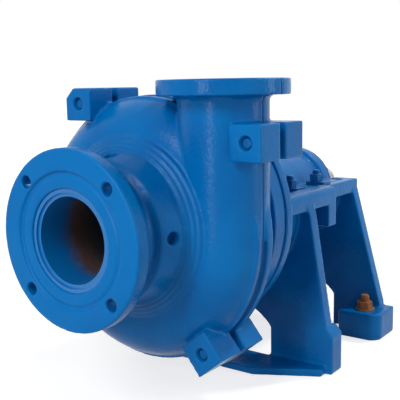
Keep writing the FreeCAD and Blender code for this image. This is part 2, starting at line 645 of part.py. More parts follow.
def impeller():
    """The closed impeller: two shrouds, backward curved vanes, expelling vanes and a threaded boss."""
    body = new_body("impeller")
    lip_front = "(shroud_front - expeller_height)"
    eye = "(eye_diameter / 2)"
    turn(body, draw(section_sketch(body), (
        ("impeller_nose", "0"), ("impeller_nose", "nose_tip", "-nose_bend"),
        ("nose_rear", "nose_radius", "hub_flare_bend"), (PASSAGE_REAR, "hub_flare"),
        (PASSAGE_REAR, IMPELLER_RADIUS),
        (BACK_FACE, IMPELLER_RADIUS), (BACK_FACE, "boss_diameter / 2"),
        ("insert_rear", "boss_diameter / 2"), ("insert_rear", "thread_diameter / 2"),
        ("thread_front", "thread_diameter / 2"), ("thread_front", "0"))))
    turn(body, draw(section_sketch(body), (
        (lip_front, eye), (lip_front, f"{eye} + eye_lip"), ("shroud_front", f"{eye} + eye_lip"),
        ("shroud_front", IMPELLER_RADIUS), (PASSAGE_FRONT, IMPELLER_RADIUS),
        (PASSAGE_FRONT, f"{eye} + shroud_thickness", "shroud_thickness"),
        (f"{PASSAGE_FRONT} - shroud_thickness", eye))))
    inlet = around("vane_inlet_radius", "0")
    inlet_back = around("vane_inlet_radius + vane_thickness", "vane_thickness / 2")
    outlet = around(IMPELLER_RADIUS, "vane_wrap")
    outlet_back = around(IMPELLER_RADIUS, f"vane_wrap - vane_thickness * 60 / {IMPELLER_RADIUS}")
    vane = draw(cross_sketch(body, PASSAGE_FRONT), (
        (*inlet_back, "vane_bend"), outlet_back, (*outlet, "-vane_bend"), inlet))
    repeat(body, extend(body, vane, "passage_width", backwards=True), "vane_count")
    expelling_vanes(body, lip_front, "expeller_height", "expeller_inner_radius")
    expelling_vanes(body, BACK_FACE, "rear_expeller_height", "boss_diameter / 2 - fit_clearance")
    return body


# ---------------------------------------------------------------- shaft seal

def stuffing_box():
    """The stuffing box behind the frame plate, with ears for the gland bolts."""
    body = turned("stuffing_box", (
        ("insert_rear", f"{SLEEVE_CLEAR} + 2 * running_clearance"),
        ("insert_rear", "box_seat_diameter / 2 - seat_clearance"),
        ("frame_back", "box_seat_diameter / 2 - seat_clearance"),
        ("frame_back", "box_flange_diameter / 2"),
        ("frame_back + box_flange_thickness", "box_flange_diameter / 2"),
        ("frame_back + box_flange_thickness", "box_body_diameter / 2"),
        ("box_rear", "box_body_diameter / 2"), ("box_rear", "box_bore / 2"),
        (BOX_LIP_REAR, "box_bore / 2"),
        (BOX_LIP_REAR, f"{SLEEVE_CLEAR} + 2 * running_clearance")))
    reach = "gland_bolt_reach + gland_ear_width / 2"
    for hand in (-1, 1):
        ear = cross_sketch(body, "box_rear")
        draw_box(ear, f"{hand} * (box_bore / 2 + gland_ear_length / 2)", f"{hand} * ({reach})",
                 "-gland_ear_width / 2", "gland_ear_width / 2")
        extend(body, ear, "gland_ear_length")
    holes = cross_sketch(body, "box_rear")
    for hand in (-1, 1):
        draw_circle(holes, "gland_bolt", f"{hand} * gland_bolt_reach", "0")
    cut(body, holes, "gland_ear_length", backwards=True)
    return body


def gland():
    """The gland follower: a nose in the packing bore and a flange on the two gland bolts."""
    body = turned("gland", ring(GLAND_FRONT, GLAND_BACK, SLEEVE_CLEAR, BOX_CLEAR))
    flange = cross_sketch(body, GLAND_FACE)
    reach = "(gland_bolt_reach + gland_ear_width / 2)"
    body_radius = "(box_body_diameter / 2)"
    draw(flange, (
        (f"-{reach}", "-gland_ear_width / 2"),
        (f"-{body_radius} / 2", f"-{body_radius}"), (f"{body_radius} / 2", f"-{body_radius}"),
        (reach, "-gland_ear_width / 2"), (reach, "gland_ear_width / 2"),
        (f"{body_radius} / 2", body_radius), (f"-{body_radius} / 2", body_radius),
        (f"-{reach}", "gland_ear_width / 2")))
    draw_circle(flange, f"2 * {SLEEVE_CLEAR}")
    for hand in (-1, 1):
        draw_circle(flange, "gland_bolt + 2 * bolt_clearance", f"{hand} * gland_bolt_reach", "0")
    extend(body, flange, "gland_flange", backwards=True)
    return body


def gland_bolts():
    """The two studs that the gland slides on."""
    body = new_body("gland_bolts")
    sketch = cross_sketch(body, "box_rear - gland_ear_length")
    for hand in (-1, 1):
        draw_circle(sketch, "gland_bolt - 2 * fit_clearance", f"{hand} * gland_bolt_reach", "0")
    extend(body, sketch, "gland_bolt_end - box_rear + gland_ear_length", backwards=True)
    return body


def nuts(label, along, flats, hole, height, places):
    """A set of plain nuts facing along the pump line."""
    body = new_body(label)
    sketch = cross_sketch(body, along)
    for across, up in places:
        draw_hexagon(sketch, flats, across, up)
        draw_circle(sketch, hole, across, up)
    extend(body, sketch, height, backwards=True)
    return body


def packing_rings():
    """The square packing rings, one behind the other."""
    body = new_body("packing_rings")
    for index in count("packing_count"):
        front = f"{PACKING_FRONT} + {index} * packing_width"
        rear = f"{front} + packing_width - fit_clearance"
        turn(body, draw(section_sketch(body), ring(front, rear, SLEEVE_CLEAR, BOX_CLEAR)))
    return body


def lantern_ring():
    """The lantern ring, waisted so that gland water can pass round it."""
    front = f"{BOX_LIP_REAR} + fit_clearance"
    rear = f"{PACKING_FRONT} - fit_clearance"
    waist = "(box_bore / 2 - lantern_width / 4)"
    return turned("lantern_ring", (
        (front, SLEEVE_CLEAR), (front, BOX_CLEAR), (f"{front} + lantern_width / 4", BOX_CLEAR),
        (f"{front} + lantern_width / 4", waist), (f"{rear} - lantern_width / 4", waist),
        (f"{rear} - lantern_width / 4", BOX_CLEAR), (rear, BOX_CLEAR), (rear, SLEEVE_CLEAR)))


# ---------------------------------------------------------------- rotating assembly

def shaft():
    """The shaft, from the impeller thread to the keyed drive end."""
    body = turned("shaft", (
        ("thread_front + fit_clearance", "0"),
        ("thread_front + fit_clearance", "thread_diameter / 2 - fit_clearance"),
        ("insert_rear", "thread_diameter / 2 - fit_clearance"),
        ("insert_rear", "sleeve_bore / 2 - fit_clearance"),
        ("sleeve_rear", "sleeve_bore / 2 - fit_clearance"), ("sleeve_rear", JOURNAL),
        (FRONT_BEARING_REAR, JOURNAL), (FRONT_BEARING_REAR, "shoulder_diameter / 2"),
        ("drive_bearing", "shoulder_diameter / 2"), ("drive_bearing", JOURNAL),
        ("journal_end", JOURNAL), ("journal_end", "locknut_thread / 2"),
        ("locknut_rear", "locknut_thread / 2"), ("locknut_rear", "shaft_end_diameter / 2"),
        ("shaft_end - shaft_chamfer", "shaft_end_diameter / 2"),
        ("shaft_end", "shaft_end_diameter / 2 - shaft_chamfer"), ("shaft_end", "0")))
    keyway = draw_box(plan_sketch(body, "shaft_end_diameter / 2 - key_depth"), "-key_width / 2",
                      "key_width / 2", "key_front", "key_front + key_length")
    cut(body, keyway, "key_height", backwards=True)
    return body


def shaft_key():
    """The parallel key in the drive end."""
    body = new_body("shaft_key")
    sketch = draw_box(
        plan_sketch(body, "shaft_end_diameter / 2 - key_depth"),
        "-key_width / 2 + fit_clearance", "key_width / 2 - fit_clearance",
        "key_front + fit_clearance", "key_front + key_length - fit_clearance")
    extend(body, sketch, "key_height")
    return body


def impeller_oring():
    """The O-ring between the shaft sleeve and the impeller boss, in the sleeve's counterbore."""
    body = new_body("impeller_oring")
    sketch = section_sketch(body)
    draw_circle(sketch, "oring_section", "insert_rear + oring_section / 2 + fit_clearance",
                "sleeve_bore / 2 + oring_section / 2 + fit_clearance")
    turn(body, sketch)
    return body


def shaft_sleeve():
    """The hardened sleeve that runs in the packing, with a counterbore for the O-ring."""
    counterbore = "(sleeve_bore / 2 + oring_section + 2 * fit_clearance)"
    step = "(insert_rear + oring_section + 2 * fit_clearance)"
    return turned("shaft_sleeve", (
        ("insert_rear + fit_clearance", counterbore),
        ("insert_rear + fit_clearance", "sleeve_diameter / 2"),
        ("sleeve_rear - fit_clearance", "sleeve_diameter / 2"),
        ("sleeve_rear - fit_clearance", "sleeve_bore / 2"), (step, "sleeve_bore / 2"),
        (step, counterbore)))


def front_labyrinth():
    """The rotating labyrinth in the front end cover, with its thrower flange."""
    return turned("front_labyrinth", (
        ("front_labyrinth_front", JOURNAL_SEAT),
        ("front_labyrinth_front", "labyrinth_flange_diameter / 2"),
        ("labyrinth_flange_rear", "labyrinth_flange_diameter / 2"),
        ("labyrinth_flange_rear", "labyrinth_diameter / 2"),
        ("front_labyrinth_rear", "labyrinth_diameter / 2"),
        ("front_labyrinth_rear", JOURNAL_SEAT)))


def bearing_locknut():
    """The slotted locknut that holds the drive bearing and its labyrinth on the shaft."""
    body = turned("bearing_locknut", ring(
        "journal_end + fit_clearance", "locknut_rear", "locknut_thread / 2 + fit_clearance",
        "locknut_diameter / 2"))
    slot = draw_box(cross_sketch(body, "locknut_rear"),
                    "locknut_diameter / 2 - locknut_slot / 2", "locknut_diameter / 2 + locknut_slot",
                    "-locknut_slot / 2", "locknut_slot / 2")
    slot_cut = cut(body, slot, "locknut_rear - journal_end", backwards=True)
    repeat(body, slot_cut, "locknut_slot_count")
    return body


# ---------------------------------------------------------------- bearings

def inner_race(label, front):
    """A bearing's inner ring, with a lip at each end of the roller track."""
    track = f"({ROLLER_PITCH} - {ROLLER_CLEAR})"
    lip = f"({track} + cage_wall / 2)"
    rear = f"({front} + bearing_width)"
    middle = f"({front} + bearing_width / 2)"
    half = "(roller_length / 2 + running_clearance)"
    return turned(label, (
        (front, JOURNAL_SEAT), (front, lip), (f"{middle} - {half}", lip),
        (f"{middle} - {half}", track), (f"{middle} + {half}", track), (f"{middle} + {half}", lip),
        (rear, lip), (rear, JOURNAL_SEAT)))


def outer_race(label, front):
    """A bearing's outer ring."""
    return turned(label, ring(front, f"{front} + bearing_width", f"{ROLLER_PITCH} + {ROLLER_CLEAR}",
                              "bearing_diameter / 2"))


def rollers(label, front):
    """One ring of rollers."""
    body = new_body(label)
    sketch = cross_sketch(body, f"{front} + (bearing_width - roller_length) / 2")
    draw_circle(sketch, "roller_diameter", ROLLER_PITCH, "0")
    repeat(body, extend(body, sketch, "roller_length", backwards=True), "roller_count")
    return body


def cage(label, front):
    """The cage that spaces the rollers, with a pocket for each of them."""
    middle = f"({front} + bearing_width / 2)"
    body = turned(label, ring(
        f"{middle} - cage_width / 2", f"{middle} + cage_width / 2",
        f"{ROLLER_PITCH} - cage_wall / 2", f"{ROLLER_PITCH} + cage_wall / 2"))
    sketch = cross_sketch(body, f"{middle} - roller_length / 2 - running_clearance")
    draw_circle(sketch, f"2 * {ROLLER_CLEAR}", ROLLER_PITCH, "0")
    repeat(body, cut(body, sketch, "roller_length + 2 * running_clearance"), "roller_count")
    return body


# ---------------------------------------------------------------- bearing assembly

def clamp_places():
    """Across and along of each clamp bolt."""
    return [(f"{hand} * clamp_across", along) for hand in (-1, 1)
            for along in ("clamp_front", "clamp_rear")]


def bearing_housing():
    """The bearing housing: a barrel with end flanges, rails for the clamps and an adjuster lug."""
    flange_rear = "(housing_front + housing_flange_length)"
    drive_flange = "(housing_rear - housing_flange_length)"
    body = turned("bearing_housing", (
        ("housing_front", RACE_SEAT), ("housing_front", "housing_flange_diameter / 2"),
        (flange_rear, "housing_flange_diameter / 2"),
        (f"{flange_rear} + slot_margin", "housing_barrel_diameter / 2"),
        (f"{drive_flange} - slot_margin", "housing_barrel_diameter / 2"),
        (drive_flange, "housing_flange_diameter / 2"),
        ("housing_rear", "housing_flange_diameter / 2"), ("housing_rear", RACE_SEAT),
        ("drive_bearing", RACE_SEAT), ("drive_bearing", "housing_bore / 2"),
        (FRONT_BEARING_REAR, "housing_bore / 2"), (FRONT_BEARING_REAR, RACE_SEAT)))
    for hand in (-1, 1):
        rail = cross_sketch(body, "housing_front + rail_margin")
        draw_box(rail, f"{hand} * rail_inner", f"{hand} * (rail_outer - running_clearance)",
                 "deck_seat + running_clearance", "deck_top - running_clearance")
        extend(body, rail, "housing_rear - housing_front - 2 * rail_margin", backwards=True)
    lug = cross_sketch(body, "lug_front")
    draw_box(lug, "-adjuster_lug_width / 2", "adjuster_lug_width / 2", "-adjuster_lug_depth",
             "-(housing_bore / 2 + slot_margin)")
    extend(body, lug, "adjuster_lug", backwards=True)
    slots = plan_sketch(body, "deck_top")
    half_slot = "(clamp_bolt / 2 + slot_margin)"
    for across, along in clamp_places():
        outer = f"({across}) * rail_outer / clamp_across"
        inner = f"({across}) * (clamp_across - {half_slot}) / clamp_across"
        draw_box(slots, inner, outer, f"{along} - {half_slot}", f"{along} + {half_slot}")
    cut(body, slots, "deck_top - deck_seat")
    screw_hole = cross_sketch(body, "lug_front + adjuster_lug")
    draw_circle(screw_hole, "adjuster", "0", "-adjuster_drop")
    cut(body, screw_hole, "adjuster_lug", backwards=True)
    for face, backwards in (("housing_front", False), ("housing_rear", True)):
        taps = cross_sketch(body, face)
        cover_screw_circles(taps, "cover_screw")
        cut(body, taps, "cover_screw_length - cover_plate_length", backwards)
    nipple_taps = plan_sketch(body, "housing_barrel_diameter / 2")
    for along in ("nipple_front", "nipple_drive"):
        draw_circle(nipple_taps, "nipple_diameter", "0", along)
    cut(body, nipple_taps, "(housing_barrel_diameter - housing_bore) / 2 + fit_clearance")
    return body


def cover_screw_circles(sketch, diameter):
    """A circle at each end cover screw."""
    for index in count("cover_screw_count"):
        across, up = around("cover_screw_circle / 2", f"30 + {index} * 360 / cover_screw_count")
        draw_circle(sketch, diameter, across, up)


def end_cover(label, face, tip, outside):
    """A bearing end cover: a plate on the housing's face and a spigot against the outer ring."""
    far = f"({face} + {outside} * cover_plate_length)"
    body = turned(label, (
        (far, "end_cover_bore / 2"), (far, "end_cover_diameter / 2"),
        (face, "end_cover_diameter / 2"), (face, f"{RACE_SEAT} - 2 * fit_clearance"),
        (tip, f"{RACE_SEAT} - 2 * fit_clearance"), (tip, "end_spigot_bore / 2"),
        (face, "end_spigot_bore / 2"), (face, "end_cover_bore / 2")))
    holes = cross_sketch(body, far)
    cover_screw_circles(holes, "cover_screw + bolt_clearance")
    cut(body, holes, "cover_plate_length", backwards=outside > 0)
    return body


def end_cover_screws():
    """The screws of both end covers."""
    body = new_body("end_cover_screws")
    front_head = "housing_front - cover_plate_length"
    rear_head = f"{DRIVE_COVER_FRONT} + cover_plate_length"
    for head, outwards in ((front_head, False), (rear_head, True)):
        shanks = cross_sketch(body, head)
        cover_screw_circles(shanks, "cover_screw - 2 * fit_clearance")
        extend(body, shanks, "cover_screw_length - cover_plate_length / 4", backwards=not outwards)
        heads = cross_sketch(body, head)
        cover_screw_circles(heads, "cover_screw_head")
        extend(body, heads, "cover_screw_head_height", backwards=outwards)
    return body


def end_cover_shim():
    """The shim ring under the drive end cover, holed for the screws."""
    body = turned("end_cover_shim", ring(
        "housing_rear", DRIVE_COVER_FRONT, "bearing_diameter / 2 + seat_clearance",
        "end_cover_diameter / 2"))
    holes = cross_sketch(body, "housing_rear")
    cover_screw_circles(holes, "cover_screw + bolt_clearance")
    cut(body, holes, "shim_thickness")
    return body


def adjusting_screw():
    """The stud in the housing's lug that moves the bearing assembly along the base."""
    body = new_body("adjusting_screw")
    sketch = cross_sketch(body, "lug_front")
    draw_circle(sketch, "adjuster - 2 * fit_clearance", "0", "-adjuster_drop")
    extend(body, sketch, "adjuster_end - lug_front", backwards=True)
    return body


def adjusting_nuts():
    """The two nuts on the adjusting screw, one each side of the base's rear wall."""
    body = new_body("adjusting_nuts")
    for face, backwards in (("rear_wall_front - running_clearance", False),
                            ("rear_wall_rear + running_clearance", True)):
        sketch = cross_sketch(body, face)
        draw_hexagon(sketch, "adjuster_nut", "0", "-adjuster_drop")
        draw_circle(sketch, "adjuster + 2 * fit_clearance", "0", "-adjuster_drop")
        extend(body, sketch, "adjuster_nut_height", backwards)
    return body


def grease_nipples():
    """A grease nipple over each bearing."""
    body = new_body("grease_nipples")
    top = "housing_barrel_diameter / 2"
    for along in ("nipple_front", "nipple_drive"):
        stem = plan_sketch(body, f"{top} - nipple_hex_height")
        draw_circle(stem, "nipple_diameter - 2 * fit_clearance", "0", along)
        extend(body, stem, "nipple_height + nipple_hex_height")
        collar = plan_sketch(body, top)
        draw_hexagon(collar, "nipple_hex", "0", along)
        extend(body, collar, "nipple_hex_height")
    return body


# ---------------------------------------------------------------- base

def ring_bolt_circles(sketch, diameter):
    """A circle at each stud that holds the frame plate to the base ring."""
    for across, up in ring_bolt_places():
        draw_circle(sketch, diameter, across, up)


def ring_bolt_places():
    """Across and up of each stud in the base ring."""
    return [around("ring_bolt_circle / 2", f"ring_bolt_start + {index} * 360 / ring_bolt_count")
            for index in count("ring_bolt_count")]


def half_shell(body, front, rear, outer, wall):
    """Add the lower half of a tube about the pump line."""
    sketch = plan_sketch(body, "0")
    draw_box(sketch, f"{outer} - {wall}", outer, front, rear)
    turn(body, sketch, "V_Axis", angle=180)


def upright(body, along, corners, length):
    """Add a wall square to the pump line, the same on both sides of it."""
    mirrored = [(f"-({across})", up) for across, up in reversed(corners)]
    extend(body, draw(cross_sketch(body, along), [*corners, *mirrored]), length, backwards=True)


def feet(body):
    """Add the toe plate, the front foot blocks and bosses, and the rear feet."""
    toe = draw(plan_sketch(body, FLOOR), (
        ("-toe_across", "toe_front"), ("toe_across", "toe_front"),
        ("wall_knee_across", "toe_side_along"), ("wall_knee_across", "wall_front"),
        ("-wall_knee_across", "wall_front"), ("-wall_knee_across", "toe_side_along")))
    extend(body, toe, "toe_thickness")
    for hand in (-1, 1):
        block = draw(cross_sketch(body, "wall_front"), (
            (f"{hand} * foot_block_inner", FLOOR), (f"{hand} * foot_across", FLOOR),
            (f"{hand} * foot_across", f"{FLOOR} + foot_block_height"),
            (f"{hand} * wall_knee_across", "wall_knee_up"),
            (f"{hand} * foot_block_inner", "wall_knee_up")))
        extend(body, block, "foot_block_length", backwards=True)
        boss = plan_sketch(body, FLOOR)
        draw_circle(boss, "spot_face", f"{hand} * bolt_span_across / 2",
                    f"{BASE_MIDDLE} - bolt_span_along / 2")
        extend(body, boss, "front_boss_height")
        foot = draw(plan_sketch(body, FLOOR), (
            (f"{hand} * rear_foot_inner", "rear_foot_front"),
            (f"{hand} * (foot_across - foot_corner)", "rear_foot_front", f"{hand} * foot_corner"),
            (f"{hand} * foot_across", "rear_foot_front + foot_corner"),
            (f"{hand} * foot_across", "rear_wall_rear"),
            (f"{hand} * rear_foot_inner", "rear_wall_rear")))
        extend(body, foot, "rear_foot_height")


def decks(body):
    """Add the two machined decks, and the bars outside them."""
    for hand in (-1, 1):
        deck = draw(cross_sketch(body, "wall_front"), [(f"{hand} * ({across})", up) for across, up in (
            ("cradle_radius - cradle_wall / 8", "deck_bottom"), ("deck_outer", "deck_bottom"),
            ("deck_outer", "deck_top"), ("rail_outer + running_clearance", "deck_top"),
            ("rail_outer + running_clearance", "deck_seat"),
            ("cradle_radius - cradle_wall / 8", "deck_seat"))])
        extend(body, deck, "rear_wall_rear - wall_front", backwards=True)
        bar = draw(cross_sketch(body, RING_REAR), (
            (f"{hand} * bar_inner", "bar_bottom"), (f"{hand} * bar_outer", "bar_bottom"),
            (f"{hand} * bar_outer", "bar_top - bar_round", f"{hand} * bar_round"),
            (f"{hand} * (bar_outer - bar_round)", "bar_top"), (f"{hand} * bar_inner", "bar_top")))
        extend(body, bar, f"bar_rear - {RING_REAR}", backwards=True)
        block = draw_box(cross_sketch(body, "bar_block_front"), f"{hand} * bar_block_inner",
                         f"{hand} * bar_outer", "bar_block_bottom", "bar_bottom")
        extend(body, block, "bar_rear - bar_block_front", backwards=True)


def base():
    """The one-piece base: a ring for the frame plate, two walls with feet, decks and a cradle."""
    body = new_body("base")
    collar = cross_sketch(body, "frame_back")
    draw_circle(collar, "ring_diameter")
    draw_circle(collar, "ring_bore")
    extend(body, collar, "ring_thickness", backwards=True)
    half_shell(body, RING_REAR, "wall_front", "trough_outer", "trough_wall")
    upright(body, "wall_front", (
        ("foot_block_inner", FLOOR), ("wall_knee_across", FLOOR), ("wall_knee_across", "wall_knee_up"),
        ("wall_top_across", "wall_top_up"), ("bar_outer", "bar_bottom + bar_round")),
        "wall_thickness")
    upright(body, "rear_wall_front", (
        ("rear_foot_inner", FLOOR), ("rear_wall_across", FLOOR),
        ("rear_wall_across", "rear_wall_foot_up"), ("rear_shoulder_across", "deck_top")),
        "rear_wall_rear - rear_wall_front")
    feet(body)
    decks(body)
    half_shell(body, "wall_front", "rear_wall_rear", "cradle_radius + cradle_wall", "cradle_wall")
    cradle = cross_sketch(body, "wall_front")
    draw(cradle, (("cradle_radius", "deck_seat + seat_clearance"),
                  ("cradle_radius", "bar_top"), ("-cradle_radius", "bar_top"),
                  ("-cradle_radius", "deck_seat + seat_clearance")))
    cut(body, cradle, "wall_thickness")
    hollow = cross_sketch(body, "wall_front")
    draw_circle(hollow, "2 * cradle_radius")
    cut(body, hollow, "rear_wall_front - wall_front")
    rear_cut = cross_sketch(body, "rear_wall_front")
    draw_circle(rear_cut, "2 * rear_cut_radius")
    cut(body, rear_cut, "rear_wall_rear - rear_wall_front")
    arch = draw(cross_sketch(body, "wall_front"), (
        ("-arch_half_width", f"{FLOOR} - seat_clearance"),
        ("arch_half_width", f"{FLOOR} - seat_clearance"),
        ("arch_half_width", f"{FLOOR} + arch_height - arch_half_width / 2", "arch_half_width * 1.3"),
        ("-arch_half_width", f"{FLOOR} + arch_height - arch_half_width / 2")))
    cut(body, arch, "rear_wall_rear - wall_front")
    slot = draw_box(plan_sketch(body, "deck_bottom"), "-adjuster_slot_width / 2",
                    "adjuster_slot_width / 2", "adjuster_slot_front", "rear_wall_front")
    cut(body, slot, "cradle_radius + 2 * cradle_wall")
    base_holes(body)
    return body


def base_holes(body):
    """Cut the base's bolt holes and spot faces, and the holes for studs, clamps and adjuster."""
    for along, height in (("- bolt_span_along / 2", "front_boss_height"),
                          ("+ bolt_span_along / 2", "rear_foot_height")):
        holes = plan_sketch(body, FLOOR)
        faces = plan_sketch(body, f"{FLOOR} + {height}")
        for hand in (-1, 1):
            place = (f"{hand} * bolt_span_across / 2", f"{BASE_MIDDLE} {along}")
            draw_circle(holes, "base_bolt_hole", *place)
            draw_circle(faces, "spot_face", *place)
        cut(body, holes, f"{height} + seat_clearance", backwards=True)
        cut(body, faces, "foot_block_height", backwards=True)
    studs = cross_sketch(body, "frame_back")
    ring_bolt_circles(studs, "ring_bolt + bolt_clearance")
    cut(body, studs, "ring_thickness")
    clamps = plan_sketch(body, "deck_seat")
    for place in clamp_places():
        draw_circle(clamps, "clamp_bolt + bolt_clearance", *place)
    cut(body, clamps, "deck_seat - deck_bottom")
    pockets = plan_sketch(body, "deck_bottom")
    for across, along in clamp_places():
        inner = f"({across}) * (clamp_across - clamp_pocket / 2) / clamp_across"
        outer = f"({across}) * (clamp_across + clamp_pocket / 2) / clamp_across"
        draw_box(pockets, inner, outer, f"{along} - clamp_pocket / 2", f"{along} + clamp_pocket / 2")
    cut(body, pockets, "clamp_pocket_depth")
    adjuster = cross_sketch(body, "rear_wall_front")
    draw_circle(adjuster, "adjuster + 2 * bolt_clearance", "0", "-adjuster_drop")
    cut(body, adjuster, "rear_wall_rear - rear_wall_front")


def frame_studs():
    """The studs that hold the frame plate to the base ring."""
    body = new_body("frame_studs")
    sketch = cross_sketch(body, "frame_back - ring_bolt_grip")
    ring_bolt_circles(sketch, "ring_bolt")
    extend(body, sketch, "ring_bolt_grip + ring_thickness + ring_bolt_nut_height + bolt_clearance * 8",
           backwards=True)
    return body


def clamp_set():
    """The clamp washers, bolts and nuts that hold the bearing housing's rails to the decks."""
    washers, bolts, clamp_nuts = (new_body(f"clamp_{name}") for name in ("washers", "bolts", "nuts"))
    washer_top = "(deck_top + washer_thickness)"
    plates = plan_sketch(washers, "deck_top")
    shanks = plan_sketch(bolts, "deck_bottom")
    heads = plan_sketch(bolts, "deck_bottom")
    faces = plan_sketch(clamp_nuts, washer_top)
    for across, along in clamp_places():
        draw_box(plates, f"({across}) * washer_inner / clamp_across",
                 f"({across}) * washer_outer / clamp_across",
                 f"{along} - washer_length / 2", f"{along} + washer_length / 2")
        draw_circle(plates, "clamp_bolt + bolt_clearance", across, along)
        draw_circle(shanks, "clamp_bolt", across, along)
        draw_hexagon(heads, "clamp_head", across, along)
        draw_hexagon(faces, "clamp_nut", across, along)
        draw_circle(faces, "clamp_bolt + 2 * fit_clearance", across, along)
    extend(washers, plates, "washer_thickness")
    extend(bolts, shanks, "clamp_bolt_end - deck_bottom")
    extend(bolts, heads, "clamp_head_height", backwards=True)
    extend(clamp_nuts, faces, "clamp_nut_height")
    return [washers, bolts, clamp_nuts]


# ---------------------------------------------------------------- the whole pump

def build():
    """Make every body of the pump."""
    gland_places = [(f"{hand} * gland_bolt_reach", "0") for hand in (-1, 1)]
    return [
        base(), cover_plate(), frame_plate(), casing_bolts(), volute_liner(), throat_bush(), cotters(),
        frame_plate_insert(), stuffing_box(), lantern_ring(), packing_rings(), gland_bolts(),
        frame_studs(),
        nuts("frame_nuts", RING_REAR, "ring_bolt_nut", "ring_bolt + 2 * fit_clearance",
             "ring_bolt_nut_height", ring_bolt_places()),
        *clamp_set(), gland(),
        nuts("gland_nuts", GLAND_BACK, "gland_nut", "gland_bolt + 2 * fit_clearance",
             "gland_nut_height", gland_places),
        impeller(), impeller_oring(), shaft(), shaft_key(), shaft_sleeve(),
        turned("release_collar", ring("sleeve_rear", "collar_rear", JOURNAL_SEAT,
                                      "collar_diameter / 2")),
        front_labyrinth(),
        turned("drive_labyrinth", ring("drive_labyrinth_front", "journal_end", JOURNAL_SEAT,
                                       "labyrinth_diameter / 2")),
        bearing_locknut(),
        inner_race("front_inner_race", "front_bearing"), outer_race("front_outer_race", "front_bearing"),
        inner_race("drive_inner_race", "drive_bearing"), outer_race("drive_outer_race", "drive_bearing"),
        rollers("front_rollers", "front_bearing"), cage("front_cage", "front_bearing"),
        rollers("drive_rollers", "drive_bearing"), cage("drive_cage", "drive_bearing"),
        bearing_housing(),
        end_cover("front_end_cover", "housing_front", "front_bearing - fit_clearance", -1),
        end_cover("drive_end_cover", DRIVE_COVER_FRONT, f"{DRIVE_BEARING_REAR} + fit_clearance", 1),
        end_cover_screws(), end_cover_shim(),
        adjusting_screw(), adjusting_nuts(), grease_nipples(),
    ]


def check(bodies):
    """Stop if anything in the document failed, or a body's shape isn't sound."""
    for item in doc.Objects:
        if "Invalid" in item.State or "Error" in item.State:
            raise RuntimeError(f"{item.Label} failed: {item.State}")
    for body in bodies:
        if body.Shape.isNull() or not body.Shape.isValid() or not body.Shape.Solids:
            raise RuntimeError(f"{body.Label} has no sound shape")


def export(bodies):
    """Write each body to its own file."""
    os.makedirs("parts", exist_ok=True)
    for body in bodies:
        body.Shape.exportStep(f"parts/{body.Label}.step")


write_sheet()
pump = build()
doc.recompute()
check(pump)
export(pump)
for piece in pump:
    print(f"{piece.Label}: {len(piece.Shape.Solids)} solids, {piece.Shape.Volume / 1e6:.4f} litres")
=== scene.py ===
"""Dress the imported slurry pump: cast skins, fasteners, finishes, floor, light and camera.

The castings are skinned: a copy of each cast node is closed, rounded over as a sand casting is, and
painted.  Fasteners are modelled anew over the plain ones.  Everything is in metres, in the part's own
frame: +Y runs along the shaft to the drive end, +X is the discharge side and +Z is up.
"""
from __future__ import annotations

import json
import logging
import math
from dataclasses import dataclass, field
from enum import Enum
from typing import Callable, Iterable, Sequence

import bmesh
import bpy
from mathutils import Matrix, Vector

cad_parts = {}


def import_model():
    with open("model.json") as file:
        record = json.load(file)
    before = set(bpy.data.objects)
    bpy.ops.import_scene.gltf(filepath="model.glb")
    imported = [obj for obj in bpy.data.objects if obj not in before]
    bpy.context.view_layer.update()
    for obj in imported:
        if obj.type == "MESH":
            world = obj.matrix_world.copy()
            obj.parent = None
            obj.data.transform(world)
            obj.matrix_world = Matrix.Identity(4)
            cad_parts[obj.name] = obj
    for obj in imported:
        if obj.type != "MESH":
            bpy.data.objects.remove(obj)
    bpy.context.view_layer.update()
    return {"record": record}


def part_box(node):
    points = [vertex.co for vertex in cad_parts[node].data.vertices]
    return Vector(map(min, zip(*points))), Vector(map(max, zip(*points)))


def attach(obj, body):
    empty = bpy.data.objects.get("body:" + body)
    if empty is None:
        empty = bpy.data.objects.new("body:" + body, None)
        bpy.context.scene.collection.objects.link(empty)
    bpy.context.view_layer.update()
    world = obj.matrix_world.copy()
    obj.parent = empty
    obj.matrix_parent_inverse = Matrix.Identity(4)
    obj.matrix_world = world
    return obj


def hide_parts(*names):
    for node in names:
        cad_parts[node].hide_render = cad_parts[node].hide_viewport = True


LOG = logging.getLogger("pump")
MM = 0.001
DARK_RUST = (0.12, 0.035, 0.012, 1)
PALE_RUST = (0.42, 0.17, 0.055, 1)


class Body(Enum):
    """The bodies that the new pieces ride on."""

    FRAME = "pump_frame"
    GLAND = "gland_follower"
    BEARINGS = "bearing_assembly"
    NUTS = "adjusting_nuts"


class Slot(Enum):
    """Names of the record's finishes."""

    ENAMEL = "blue_enamel"
    STEEL = "steel"


class Way(Enum):
    """The direction that a fastener's head or nut faces."""

    REAR = Vector((0, 1, 0))
    FRONT = Vector((0, -1, 0))
    UP = Vector((0, 0, 1))
    DOWN = Vector((0, 0, -1))


# ------------------------------------------------------------------ shader groups

